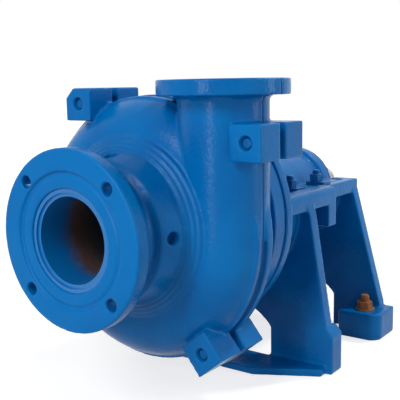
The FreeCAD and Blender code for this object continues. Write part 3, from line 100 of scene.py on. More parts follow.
class Graph:
    """A node tree that is wired by name."""

    wave_radians = 20  # how far a wave texture runs in one unit of its scaled place

    def __init__(self, tree: bpy.types.NodeTree) -> None:
        """Keep the tree that is wired."""
        self.tree = tree

    def add(self, kind: str, settings: dict | None = None, **inputs: object) -> bpy.types.Node:
        """Add a node.

        Args:
            kind: The node's type, without its ShaderNode prefix unless it is a group node.
            settings: Properties of the node itself.
            **inputs: Sockets by name, underscores for spaces; a socket is linked, a value is set.

        Returns:
            The new node.
        """
        name = kind if kind.startswith("NodeGroup") else f"ShaderNode{kind}"
        node = self.tree.nodes.new(name)
        for key, value in (settings or {}).items():
            setattr(node, key, value)
        for key, value in inputs.items():
            self.plug(node, key.replace("_", " "), value)
        return node

    def plug(self, node: bpy.types.Node, key: str | int, value: object) -> None:
        """Link a socket to an input, or set the input's own value."""
        if isinstance(value, bpy.types.NodeSocket):
            self.tree.links.new(value, node.inputs[key])
        else:
            node.inputs[key].default_value = value

    def noise(self, vector: bpy.types.NodeSocket, size: float, detail: float = 2.0,
              roughness: float = 0.5) -> bpy.types.NodeSocket:
        """A noise whose features are about a size, in metres."""
        node = self.add("TexNoise", Vector=vector, Scale=1 / size, Detail=detail,
                        Roughness=roughness)
        return node.outputs["Fac"]

    def math(self, operation: str, first: object, second: object = 0.0) -> bpy.types.NodeSocket:
        """One step of arithmetic."""
        node = self.add("Math", {"operation": operation})
        self.plug(node, 0, first)
        self.plug(node, 1, second)
        return node.outputs[0]

    def ramp(self, value: bpy.types.NodeSocket, low: float, high: float, start: float = 0.0,
             end: float = 1.0) -> bpy.types.NodeSocket:
        """Map a value from one range to another, smoothly and within its limits."""
        node = self.add("MapRange", {"interpolation_type": "SMOOTHSTEP"})
        for key, number in zip(("Value", "From Min", "From Max", "To Min", "To Max"),
                               (value, low, high, start, end)):
            self.plug(node, key, number)
        return node.outputs["Result"]

    def fade(self, mask: bpy.types.NodeSocket, start: float, end: float) -> bpy.types.NodeSocket:
        """A number that goes from one value to another as a mask rises."""
        return self.ramp(mask, 0.0, 1.0, start, end)

    def bands(self, vector: bpy.types.NodeSocket, radian: float, settings: dict | None = None,
              **inputs: object) -> bpy.types.NodeSocket:
        """Bands that run through one radian of their wave in a length, in metres."""
        node = self.add("TexWave", settings, Vector=vector,
                        Scale=1 / (radian * self.wave_radians), **inputs)
        return node.outputs["Fac"]

    def blend(self, share: object, first: object, second: object) -> bpy.types.NodeSocket:
        """Mix two colours."""
        node = self.add("Mix", {"data_type": "RGBA"})
        self.plug(node, 0, share)
        self.plug(node, 6, first)
        self.plug(node, 7, second)
        return node.outputs[2]


class Effect:
    """A shader group that several finishes share, built once."""

    name = "effect"
    inputs: tuple[tuple[str, str, object], ...] = ()
    outputs: tuple[tuple[str, str], ...] = ()

    def tree(self) -> bpy.types.NodeTree:
        """The group, made when it is first asked for."""
        found = bpy.data.node_groups.get(self.name)
        if found:
            return found
        tree = bpy.data.node_groups.new(self.name, "ShaderNodeTree")
        for label, kind, value in self.inputs:
            socket = tree.interface.new_socket(label, in_out="INPUT", socket_type=kind)
            if value is not None:
                socket.default_value = value
        for label, kind in self.outputs:
            tree.interface.new_socket(label, in_out="OUTPUT", socket_type=kind)
        graph = Graph(tree)
        start = tree.nodes.new("NodeGroupInput")
        end = tree.nodes.new("NodeGroupOutput")
        for label, socket in self.wire(graph, start.outputs).items():
            tree.links.new(socket, end.inputs[label])
        return tree

    def wire(self, graph: Graph, given: bpy.types.NodeOutputs) -> dict[str, bpy.types.NodeSocket]:
        """Wire the inside of the group.

        Args:
            graph: The group's tree.
            given: The group's inputs.

        Returns:
            Each output's socket by name.
        """
        raise NotImplementedError

    def place(self, graph: Graph, **inputs: object) -> bpy.types.Node:
        """Put the group in a material with its own values."""
        node = graph.tree.nodes.new("ShaderNodeGroup")
        node.node_tree = self.tree()
        for key, value in inputs.items():
            graph.plug(node, key.replace("_", " "), value)
        return node


class CastRelief(Effect):
    """The height of a painted sand casting: shallow waves, orange peel and grit."""

    name = "cast_relief"
    wave_size = 34 * MM
    peel_size = 6 * MM
    grit_size = 1.6 * MM
    pit_spacing = 26 * MM
    pit_rim = (0.03, 0.075)
    wave_share = 1.6
    peel_share = 1.4
    grit_share = 0.14
    pit_share = 0.25
    inputs = (("Vector", "NodeSocketVector", None), ("Waves", "NodeSocketFloat", 1.0),
              ("Peel", "NodeSocketFloat", 1.0), ("Grit", "NodeSocketFloat", 1.0))
    outputs = (("Height", "NodeSocketFloat"), ("Pits", "NodeSocketFloat"))

    def wire(self, graph: Graph, given: bpy.types.NodeOutputs) -> dict[str, bpy.types.NodeSocket]:
        """Sum three sizes of noise, with a few blow-holes that the paint only half fills."""
        waves = graph.math("MULTIPLY", graph.noise(given["Vector"], self.wave_size),
                           given["Waves"])
        peel = graph.math("MULTIPLY", graph.noise(given["Vector"], self.peel_size, 2.0, 0.6),
                          given["Peel"])
        grit = graph.math("MULTIPLY", graph.noise(given["Vector"], self.grit_size, 2.0),
                          given["Grit"])
        cells = graph.add("TexVoronoi", Vector=given["Vector"], Scale=1 / self.pit_spacing)
        pits = graph.ramp(cells.outputs["Distance"], *self.pit_rim, 1.0, 0.0)
        total = graph.math("ADD", graph.math("MULTIPLY", waves, self.wave_share),
                           graph.math("ADD", graph.math("MULTIPLY", peel, self.peel_share),
                                      graph.math("MULTIPLY", grit, self.grit_share)))
        sunk = graph.math("MULTIPLY", pits, self.pit_share)
        return {"Height": graph.math("SUBTRACT", total, sunk), "Pits": pits}


class ToneDrift(Effect):
    """A colour that drifts a little over the surface, as sprayed paint and weathered metal do."""

    name = "tone_drift"
    spread = (0.35, 0.68)
    inputs = (("Vector", "NodeSocketVector", None), ("Base", "NodeSocketColor", (1, 1, 1, 1)),
              ("Drift", "NodeSocketColor", (1, 1, 1, 1)), ("Size", "NodeSocketFloat", 12.0))
    outputs = (("Color", "NodeSocketColor"), ("Mask", "NodeSocketFloat"))

    def wire(self, graph: Graph, given: bpy.types.NodeOutputs) -> dict[str, bpy.types.NodeSocket]:
        """Mix the two colours by a soft noise."""
        noise = graph.add("TexNoise", Vector=given["Vector"], Scale=given["Size"], Detail=4.0)
        mask = graph.ramp(noise.outputs["Fac"], *self.spread)
        return {"Color": graph.blend(mask, given["Base"], given["Drift"]), "Mask": mask}


class EdgeWearAndHighlight(Effect):
    """Where an edge stands proud enough to be knocked or to thin its paint, and to carry a painted
    highlight.
    """

    name = "edge_wear_and_highlight"
    ramp_width = 0.05
    chip_size = 9 * MM
    chip_spread = (0.52, 0.66)
    inputs = (("Vector", "NodeSocketVector", None), ("Reach", "NodeSocketFloat", 0.53),
              ("Amount", "NodeSocketFloat", 1.0))
    outputs = (("Mask", "NodeSocketFloat"),)

    def wire(self, graph: Graph, given: bpy.types.NodeOutputs) -> dict[str, bpy.types.NodeSocket]:
        """Break the convex edges up with a noise."""
        point = graph.add("NewGeometry").outputs["Pointiness"]
        edge = graph.ramp(graph.math("SUBTRACT", point, given["Reach"]), 0.0, self.ramp_width)
        broken = graph.ramp(graph.noise(given["Vector"], self.chip_size, 4.0, 0.7),
                            *self.chip_spread)
        mask = graph.math("MULTIPLY", graph.math("MULTIPLY", edge, broken), given["Amount"])
        return {"Mask": mask}


class RustBloom(Effect):
    """Patches of rust with a grain of their own."""

    name = "rust_bloom"
    grain_size = 3 * MM
    grain_spread = (0.35, 0.65)
    patch_size = 16 * MM
    patch_spread = (0.92, 1.08)
    inputs = (("Vector", "NodeSocketVector", None), ("Cover", "NodeSocketFloat", 0.5),)
    outputs = (("Color", "NodeSocketColor"), ("Mask", "NodeSocketFloat"),
               ("Height", "NodeSocketFloat"))

    def wire(self, graph: Graph, given: bpy.types.NodeOutputs) -> dict[str, bpy.types.NodeSocket]:
        """Two browns mixed by grain, over a share of the surface."""
        grain = graph.noise(given["Vector"], self.grain_size, 6.0, 0.7)
        tone = graph.blend(graph.ramp(grain, *self.grain_spread), DARK_RUST, PALE_RUST)
        patch = graph.math("ADD", graph.noise(given["Vector"], self.patch_size, 5.0, 0.65),
                           given["Cover"])
        return {"Color": tone, "Mask": graph.ramp(patch, *self.patch_spread), "Height": grain}


# ------------------------------------------------------------------ finishes

@dataclass(frozen=True)
class Finish:
    """A finish: a colour and a gloss, with the texture of its own kind added by a subclass."""

    label: str
    colour: tuple[float, float, float]
    roughness: float = 0.4
    metallic: float = 0.0

    def material(self) -> bpy.types.Material:
        """The finish as a material, made once."""
        found = bpy.data.materials.get(self.label)
        if found:
            return found
        material = bpy.data.materials.new(self.label)
        material.use_nodes = True
        tree = material.node_tree
        tree.nodes.clear()
        graph = Graph(tree)
        place = graph.add("TexCoord").outputs["Object"]
        shader = graph.add("BsdfPrincipled", Roughness=self.roughness, Metallic=self.metallic)
        shader.inputs["Base Color"].default_value = self.rgba
        self.dress(graph, shader, place)
        output = graph.add("OutputMaterial")
        tree.links.new(shader.outputs["BSDF"], output.inputs["Surface"])
        material.diffuse_color = self.rgba
        return material

    @property
    def rgba(self) -> tuple[float, float, float, float]:
        """The colour with full cover."""
        return (*self.colour, 1.0)

    def dress(self, graph: Graph, shader: bpy.types.Node, place: bpy.types.NodeSocket) -> None:
        """Add the texture of the finish.

        Args:
            graph: The material's tree.
            shader: Its Principled shader.
            place: The object coordinates.
        """
        raise NotImplementedError

    @staticmethod
    def bump(graph: Graph, shader: bpy.types.Node, height: bpy.types.NodeSocket,
             depth: float) -> None:
        """Raise the surface by a height, scaled to a depth in metres."""
        node = graph.add("Bump", Strength=1.0, Distance=depth, Height=height)
        graph.plug(shader, "Normal", node.outputs["Normal"])


@dataclass(frozen=True)
class Enamel(Finish):
    """Thick glossy enamel, on a rough casting or a smoother machined face."""

    drift: tuple[float, float, float] = (0.0, 0.1, 0.3)
    # bare: the colour of the convex edges, partly bared paint and partly a painted highlight
    bare: tuple[float, float, float] = (0.1, 0.2, 0.3)
    waves: float = 1.0
    peel: float = 1.0
    grit: float = 1.0
    depth: float = 0.5 * MM
    gloss: float = 0.1
    wear_and_highlight: float = 0.35
    pit_shade_share: float = 0.3
    pit_shade: float = 0.35
    sheen_size: float = 60 * MM
    sheen_spread: tuple[float, float] = (-0.04, 0.06)

    def dress(self, graph: Graph, shader: bpy.types.Node, place: bpy.types.NodeSocket) -> None:
        """Paint with drifting tone, worn edges with a painted highlight, painted shade in the pits
        and the relief of the casting.
        """
        relief = CastRelief().place(graph, Vector=place, Waves=self.waves, Peel=self.peel,
                                    Grit=self.grit)
        tone = ToneDrift().place(graph, Vector=place, Base=self.rgba, Drift=(*self.drift, 1),
                                 Size=9.0)
        # convex edges turn paler: partly wear, partly a painted highlight on the edges
        wear_and_highlight_mask = EdgeWearAndHighlight().place(graph, Vector=place, Amount=self.wear_and_highlight)
        colour = graph.blend(wear_and_highlight_mask.outputs["Mask"], tone.outputs["Color"], (*self.bare, 1))
        # the pits are painted darker: painted shade in the blow-holes
        colour = graph.blend(graph.math("MULTIPLY", relief.outputs["Pits"], self.pit_shade_share),
                             colour, (*(part * self.pit_shade for part in self.colour), 1))
        graph.plug(shader, "Base Color", colour)
        sheen = graph.ramp(graph.noise(place, self.sheen_size, 3.0), 0.3, 0.7,
                           *(self.roughness + change for change in self.sheen_spread))
        graph.plug(shader, "Roughness", sheen)
        shader.inputs["Specular IOR Level"].default_value = self.gloss
        self.bump(graph, shader, relief.outputs["Height"], self.depth)


@dataclass(frozen=True)
class BareMetal(Finish):
    """Turned or ground metal, with tool marks round its axis and a little rust or stain."""

    stain: tuple[float, float, float] = (0.12, 0.09, 0.07)
    stain_cover: float = 0.1
    stain_roughness: float = 0.75
    stain_metallic: float = 0.1
    ring_radian: float = 0.6 * MM
    depth: float = 0.02 * MM

    def dress(self, graph: Graph, shader: bpy.types.Node, place: bpy.types.NodeSocket) -> None:
        """Fine rings along the shaft line, with a drifting stain."""
        rings = graph.bands(place, self.ring_radian,
                            {"wave_type": "BANDS", "bands_direction": "Y"},
                            Distortion=0.4, Detail=2.0)
        stain = RustBloom().place(graph, Vector=place, Cover=self.stain_cover)
        tone = ToneDrift().place(graph, Vector=place, Base=self.rgba,
                                 Drift=(*(part * 0.7 for part in self.colour), 1), Size=25.0)
        mask = stain.outputs["Mask"]
        colour = graph.blend(mask, tone.outputs["Color"], (*self.stain, 1))
        graph.plug(shader, "Base Color", colour)
        graph.plug(shader, "Roughness", graph.fade(mask, self.roughness, self.stain_roughness))
        graph.plug(shader, "Metallic", graph.fade(mask, self.metallic, self.stain_metallic))
        self.bump(graph, shader, rings, self.depth)


@dataclass(frozen=True)
class CastIron(Finish):
    """Dark hard iron, rough from the mould, rust-brown in patches."""

    cover: float = 0.45
    rust_roughness: float = 0.85
    depth: float = 0.6 * MM

    def dress(self, graph: Graph, shader: bpy.types.Node, place: bpy.types.NodeSocket) -> None:
        """Iron and rust mixed over a coarse relief."""
        relief = CastRelief().place(graph, Vector=place, Waves=0.7, Peel=1.0, Grit=1.5)
        rust = RustBloom().place(graph, Vector=place, Cover=self.cover)
        mask = rust.outputs["Mask"]
        graph.plug(shader, "Base Color", graph.blend(mask, self.rgba, rust.outputs["Color"]))
        graph.plug(shader, "Roughness", graph.fade(mask, self.roughness, self.rust_roughness))
        graph.plug(shader, "Metallic", graph.fade(mask, self.metallic, 0.0))
        self.bump(graph, shader, relief.outputs["Height"], self.depth)


@dataclass(frozen=True)
class OversprayedIron(Finish):
    """Iron that the spray gun reached from the suction end, so that the paint fades along Y, with
    painted shade deeper in.
    """

    paint: tuple[float, float, float] = (0.0, 0.15, 0.42)
    mouth: float = -0.6
    paint_ends: tuple[float, float] = (40 * MM, 85 * MM)
    rust_to_shade_ends: tuple[float, float] = (80 * MM, 135 * MM)
    # a dim rust-brown: rust darkened by painted shade inside the bore
    rust: tuple[float, float, float] = (0.05, 0.026, 0.024)
    cover: float = 0.5
    rust_share: float = 0.1
    ragged: float = 30 * MM
    ragged_size: float = 22 * MM
    paint_roughness: float = 0.32
    iron_roughness: float = 0.8
    depth: float = 0.4 * MM

    def dress(self, graph: Graph, shader: bpy.types.Node, place: bpy.types.NodeSocket) -> None:
        """Paint at the mouth, a rust band darkened by painted shade further in, and near-black
        painted shade at the end.
        """
        relief = CastRelief().place(graph, Vector=place, Waves=0.6, Peel=0.5, Grit=1.0)
        rust = RustBloom().place(graph, Vector=place, Cover=self.cover)
        share = graph.math("MULTIPLY", rust.outputs["Mask"], self.rust_share)
        browned = graph.blend(share, (*self.rust, 1), rust.outputs["Color"])
        along = graph.add("SeparateXYZ", Vector=place).outputs["Y"]
        drift = graph.math("MULTIPLY_ADD", graph.noise(place, self.ragged_size, 5.0), self.ragged)
        drift.node.inputs[2].default_value = -self.ragged / 2 - self.mouth
        inward = graph.math("ADD", along, drift)
        bare = graph.ramp(inward, *self.paint_ends)
        # deeper in, the colour goes to near-black navy: painted shade of the deep bore
        painted_shade = graph.ramp(inward, *self.rust_to_shade_ends)
        iron = graph.blend(painted_shade, browned, self.rgba)
        graph.plug(shader, "Base Color", graph.blend(bare, (*self.paint, 1), iron))
        graph.plug(shader, "Roughness", graph.fade(bare, self.paint_roughness,
                                                   self.iron_roughness))
        self.bump(graph, shader, relief.outputs["Height"], self.depth)


@dataclass(frozen=True)
class Rusted(Finish):
    """Steel that has rusted all over."""

    cover: float = 0.75
    rust_roughness: tuple[float, float] = (0.5, 0.9)
    depth: float = 0.5 * MM

    def dress(self, graph: Graph, shader: bpy.types.Node, place: bpy.types.NodeSocket) -> None:
        """Rust over nearly all of the steel."""
        rust = RustBloom().place(graph, Vector=place, Cover=self.cover)
        mask = rust.outputs["Mask"]
        graph.plug(shader, "Base Color", graph.blend(mask, self.rgba, rust.outputs["Color"]))
        graph.plug(shader, "Roughness", graph.fade(mask, *self.rust_roughness))
        self.bump(graph, shader, rust.outputs["Height"], self.depth)


@dataclass(frozen=True)
class Braided(Finish):
    """Graphited packing, plaited on the diagonal."""

    strand_radian: float = 2.2 * MM
    hollow_roughness: float = 0.9
    hollow_shade: float = 0.4
    depth: float = 0.5 * MM

    def dress(self, graph: Graph, shader: bpy.types.Node, place: bpy.types.NodeSocket) -> None:
        """Two crossed sets of strands."""
        strands = []
        for angle in (math.radians(45), math.radians(-45)):
            turned = graph.add("Mapping", Vector=place, Rotation=(angle, angle, 0))
            strands.append(graph.bands(turned.outputs["Vector"], self.strand_radian))
        height = graph.math("MAXIMUM", *strands)
        # the hollows between strands are painted darker: painted shade
        painted_shade = (*(part * self.hollow_shade for part in self.colour), 1)
        graph.plug(shader, "Base Color", graph.blend(height, painted_shade, self.rgba))
        graph.plug(shader, "Roughness", graph.fade(height, self.hollow_roughness,
                                                   self.roughness))
        self.bump(graph, shader, height, self.depth)


@dataclass(frozen=True)
class Elastomer(Finish):
    """Matt rubber with a fine bloom."""

    bloom: tuple[float, float, float] = (0.05, 0.05, 0.05)
    bloom_roughness: tuple[float, float] = (0.5, 0.7)
    grain: float = 1.2 * MM
    depth: float = 0.1 * MM

    def dress(self, graph: Graph, shader: bpy.types.Node, place: bpy.types.NodeSocket) -> None:
        """A pale bloom over black."""
        tone = ToneDrift().place(graph, Vector=place, Base=self.rgba, Drift=(*self.bloom, 1),
                                 Size=60.0)
        graph.plug(shader, "Base Color", tone.outputs["Color"])
        graph.plug(shader, "Roughness", graph.fade(tone.outputs["Mask"],
                                                   *self.bloom_roughness))
        self.bump(graph, shader, graph.noise(place, self.grain), self.depth)


BLUE = (0.0, 0.145, 0.43)
DEEP_BLUE = (0.0, 0.1, 0.33)
CAST_ENAMEL = Enamel("cast_enamel", BLUE, roughness=0.22, drift=(0.0, 0.115, 0.37))
FACE_ENAMEL = Enamel("face_enamel", BLUE, roughness=0.36, drift=(0.0, 0.13, 0.4), waves=0.25,
                     peel=0.12, grit=0.4, depth=0.3 * MM)
PART_ENAMEL = Enamel("part_enamel", DEEP_BLUE, roughness=0.3, waves=0.2, peel=0.3, grit=0.5,
                     depth=0.3 * MM)
THREAD_ENAMEL = Enamel("thread_enamel", DEEP_BLUE, roughness=0.35, waves=0.0, peel=0.2, grit=0.6,
                       depth=0.2 * MM, wear_and_highlight=0.6)
HARD_IRON = CastIron("hard_iron_cast", (0.09, 0.08, 0.075), roughness=0.55, metallic=0.6)
TURNED_STEEL = BareMetal("turned_steel", (0.5, 0.5, 0.52), roughness=0.3, metallic=1.0)
BEARING_STEEL = BareMetal("bearing_steel_ground", (0.68, 0.68, 0.7), roughness=0.16,
                          metallic=1.0, stain_cover=0.0, depth=0.005 * MM)
BRONZE = BareMetal("bronze_machined", (0.62, 0.4, 0.16), roughness=0.3, metallic=1.0,
                   stain=(0.14, 0.1, 0.04))
RUSTED_STEEL = Rusted("rusted_steel", (0.2, 0.12, 0.08), roughness=0.6)
PACKING = Braided("braided_packing", (0.16, 0.15, 0.14), roughness=0.65)
RUBBER = Elastomer("black_rubber", (0.02, 0.02, 0.02), roughness=0.55)


# ------------------------------------------------------------------ meshes

@dataclass(frozen=True)
class Island:
    """One separate solid of a CAD node, by its box."""

    low: Vector
    high: Vector

    @property
    def centre(self) -> Vector:
        """The middle of the box."""
        return (self.low + self.high) / 2

    def end(self, way: Way) -> Vector:
        """The middle of the box's face on one side."""
        half = (self.high - self.low) / 2
        direction = way.value
        return self.centre + Vector(part * size for part, size in zip(direction, half))


def merged_copy(node: str) -> bmesh.types.BMesh:
    """A closed copy of a CAD node's mesh, with the doubles of its loose triangles merged."""
    mesh = bmesh.new()
    mesh.from_mesh(bpy.data.objects[node].data)
    bmesh.ops.remove_doubles(mesh, verts=mesh.verts, dist=0.002 * MM)
    return mesh


def islands(node: str) -> list[Island]:
    """The separate solids of a CAD node, from front to back and then from left to right."""
    mesh = merged_copy(node)
    waiting = set(mesh.verts)
    found = []
    while waiting:
        reached = {waiting.pop()}
        edge_of_search = list(reached)
        while edge_of_search:
            corner = edge_of_search.pop()
            for edge in corner.link_edges:
                other = edge.other_vert(corner)
                if other in waiting:
                    waiting.discard(other)
                    reached.add(other)
                    edge_of_search.append(other)
        spread = [[corner.co[axis] for corner in reached] for axis in range(3)]
        found.append(Island(Vector(map(min, spread)), Vector(map(max, spread))))
    mesh.free()
    return sorted(found, key=lambda island: (round(island.centre.y, 3), round(island.centre.x, 3),
                                             island.centre.z))


def show(name: str, data: bpy.types.ID) -> bpy.types.Object:
    """A new object in the scene that holds the data."""
    holder = bpy.data.objects.new(name, data)
    bpy.context.scene.collection.objects.link(holder)
    return holder


class Piece:
    """One piece under construction: bmesh shapes gathered into a single object."""

    # A hexagon's steps round its rim, and its chamfer: radius as a share of the flats, and slope.
    rim_steps = 36
    chamfer_share = 0.475
    chamfer_angle = math.radians(30)
    # A thread's depth, half crest and tip chamfer, as shares of its pitch.
    depth_share = 0.55
    crest_share = 0.12
    tip_share = 0.4

    def __init__(self, name: str) -> None:
        """Start an empty piece."""
        self.name = name
        self.mesh = bmesh.new()

    def turn(self, profile: Sequence[tuple[float, float]], base: Vector, way: Vector,
             steps: int = 40) -> None:
        """Spin a profile round a line.

        Args:
            profile: Corners as (distance along the line, radius), from one end to the other.
            base: Where the line starts.
            way: The line's direction.
            steps: How many steps make the full turn.
        """
        shape = bmesh.new()
        side = way.orthogonal().normalized()
        corners = [shape.verts.new(base + way * along + side * radius)
                   for along, radius in profile]
        edges = [shape.edges.new(pair) for pair in zip(corners, corners[1:])]
        bmesh.ops.spin(shape, geom=corners + edges, cent=base, axis=way, angle=math.tau,
                       steps=steps, use_merge=True)
        bmesh.ops.remove_doubles(shape, verts=shape.verts, dist=0.001 * MM)
        self.join(shape)

    def hexagon(self, base: Vector, way: Vector, flats: float, height: float,
                turn: float = 0.0) -> None:
        """Add a hexagonal head or nut, with both faces chamfered as if turned from bar.

        Args:
            base: The middle of the face that it sits on.
            way: The direction from that face to its top.
            flats: The width across the flats.
            height: From the seat to the top.
            turn: The angle that it stopped at when tightened.
        """
        shape = bmesh.new()
        flat = flats * self.chamfer_share
        tip = flats / math.sqrt(3)
        slope = math.tan(self.chamfer_angle)
        rims = []
        for radius, segments, level, inward in ((flat, self.rim_steps, 0.0, 0), (tip, 6, 0.0, 1),
                                                (tip, 6, height, -1),
                                                (flat, self.rim_steps, height, 0)):
            older = set(shape.edges)
            bmesh.ops.create_circle(shape, segments=segments, radius=radius,
                                    matrix=Matrix.Translation((0, 0, level)))
            rim = [edge for edge in shape.edges if edge not in older]
            bmesh.ops.subdivide_edges(shape, edges=rim, cuts=self.rim_steps // segments - 1)
            rim = [edge for edge in shape.edges if edge not in older]
            for corner in {corner for edge in rim for corner in edge.verts}:
                corner.co.z += inward * (corner.co.xy.length - flat) * slope
            rims.append(rim)
        for lower, upper in zip(rims, rims[1:]):
            bmesh.ops.bridge_loops(shape, edges=lower + upper)
        for rim in (rims[0], rims[-1]):
            bmesh.ops.contextual_create(shape, geom=rim)
        place = Matrix.Translation(base) @ way.to_track_quat("Z", "Y").to_matrix().to_4x4()
        bmesh.ops.transform(shape, matrix=place @ Matrix.Rotation(turn, 4, "Z"),
                            verts=shape.verts)
        self.join(shape)

    def join(self, shape: bmesh.types.BMesh) -> None:
        """Add a finished shape to the piece."""
        data = bpy.data.meshes.new("shape")
        shape.to_mesh(data)
        shape.free()
        self.mesh.from_mesh(data)
        bpy.data.meshes.remove(data)

    def thread(self, base: Vector, way: Vector, diameter: float, start: float, end: float,
               pitch: float, steps: int = 28) -> None:
        """Add a threaded length of rod, with a chamfered tip at its end."""
        radius = diameter / 2
        root = radius - pitch * self.depth_share
        flank = pitch * self.crest_share
        tip = pitch * self.tip_share
        profile = [(start, 0.0), (start, root)]
        for turn in range(int((end - start) / pitch) - 1):
            crest = start + pitch * (turn + 0.5)
            profile += [(crest - flank, radius), (crest + flank, radius),
                        (crest + pitch * 0.5, root)]
        profile += [(end - tip, root), (end, root - tip), (end, 0.0)]
        self.turn(profile, base, way, steps)

    def finish(self, body: Body, slot: Slot, finish: Finish, smooth_angle: float = 35.0,
               replaces: Iterable[str] = ()) -> bpy.types.Object:
        """Close the piece and hang it on the pump.

        Args:
            body: The body that it rides on.
            slot: Not used.
            finish: Its material.
            smooth_angle: Edges sharper than this stay crisp, in degrees.
            replaces: CAD nodes that it stands for.

        Returns:
            The new object.
        """
        bmesh.ops.recalc_face_normals(self.mesh, faces=self.mesh.faces)
        data = bpy.data.meshes.new(self.name)
        self.mesh.to_mesh(data)
        self.mesh.free()
        piece = show(self.name, data)
        data.materials.append(finish.material())
        data.shade_smooth()
        data.set_sharp_from_angle(angle=math.radians(smooth_angle))
        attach(piece, body.value)
        nodes = list(replaces)
        if nodes:
            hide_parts(*nodes)
        LOG.info("%s: %d faces on %s", self.name, len(data.polygons), body.value)
        return piece


# ------------------------------------------------------------------ castings

@dataclass
class Casting:
    """A cast node and how its skin is rounded over."""

    node: str
    body: Body
    voxel: float = 2.2 * MM
    soften: int = 6
    triangles: int = 190000
    machined: Callable[[Vector], bool] | None = None

    def rounded(self) -> bpy.types.Mesh:
        """The node's mesh, closed, softened and thinned to the triangles that it may have."""
        source = bpy.data.meshes.new(f"{self.node}_source")
        copy = merged_copy(self.node)
        copy.to_mesh(source)
        copy.free()
        rough = show(f"{self.node}_source", source)
        remesh = rough.modifiers.new("close", "REMESH")
        remesh.mode = "VOXEL"
        remesh.voxel_size = self.voxel
        smooth = rough.modifiers.new("soften", "SMOOTH")
        smooth.factor = 0.5
        smooth.iterations = self.soften
        data = self.evaluated(rough)
        rough.modifiers.clear()
        rough.data = data
        found = sum(len(face.vertices) - 2 for face in data.polygons)
        if found > self.triangles:
            thin = rough.modifiers.new("thin", "DECIMATE")
            thin.ratio = self.triangles / found
            data = self.evaluated(rough)
        bpy.data.objects.remove(rough)
        return data

    def skin(self) -> bpy.types.Object:
        """Make the rounded, painted skin that stands for the node.

        Returns:
            The skin's object.
        """
        data = self.rounded()
        piece = show(f"{self.node}_skin", data)
        data.materials.clear()
        data.materials.append(CAST_ENAMEL.material())
        data.materials.append(FACE_ENAMEL.material())
        data.shade_smooth()
        if self.machined:
            for face in data.polygons:
                if self.machined(face.center):
                    face.material_index = 1
        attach(piece, self.body.value)
        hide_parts(self.node)
        LOG.info("%s: %d faces", piece.name, len(data.polygons))
        return piece

    @staticmethod
    def evaluated(holder: bpy.types.Object) -> bpy.types.Mesh:
        """The mesh with its modifiers applied."""
        graph = bpy.context.evaluated_depsgraph_get()
        return bpy.data.meshes.new_from_object(holder.evaluated_get(graph))


@dataclass
class Castings:
    """Every cast and painted piece of the pump's outside."""

    suction_face: float = 12 * MM
    discharge_face: float = 1.5 * MM

    def build(self) -> None:
        """Skin each casting."""
        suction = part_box("cover_plate")[0].y
        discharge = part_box("cover_plate")[1].z

        def machined(centre: Vector) -> bool:
            """Whether a face belongs to one of the machined flange faces."""
            in_front = centre.y < suction + self.suction_face
            return in_front or centre.z > discharge - self.discharge_face

        for casting in (
            Casting("cover_plate", Body.FRAME, machined=machined),
            Casting("frame_plate", Body.FRAME, machined=machined),
            Casting("base", Body.FRAME),
            Casting("bearing_housing", Body.BEARINGS, triangles=120000),
            Casting("stuffing_box", Body.FRAME, triangles=50000),
            Casting("gland", Body.GLAND, voxel=1.6 * MM, soften=4, triangles=40000),
        ):
            casting.skin()


# ------------------------------------------------------------------ fasteners

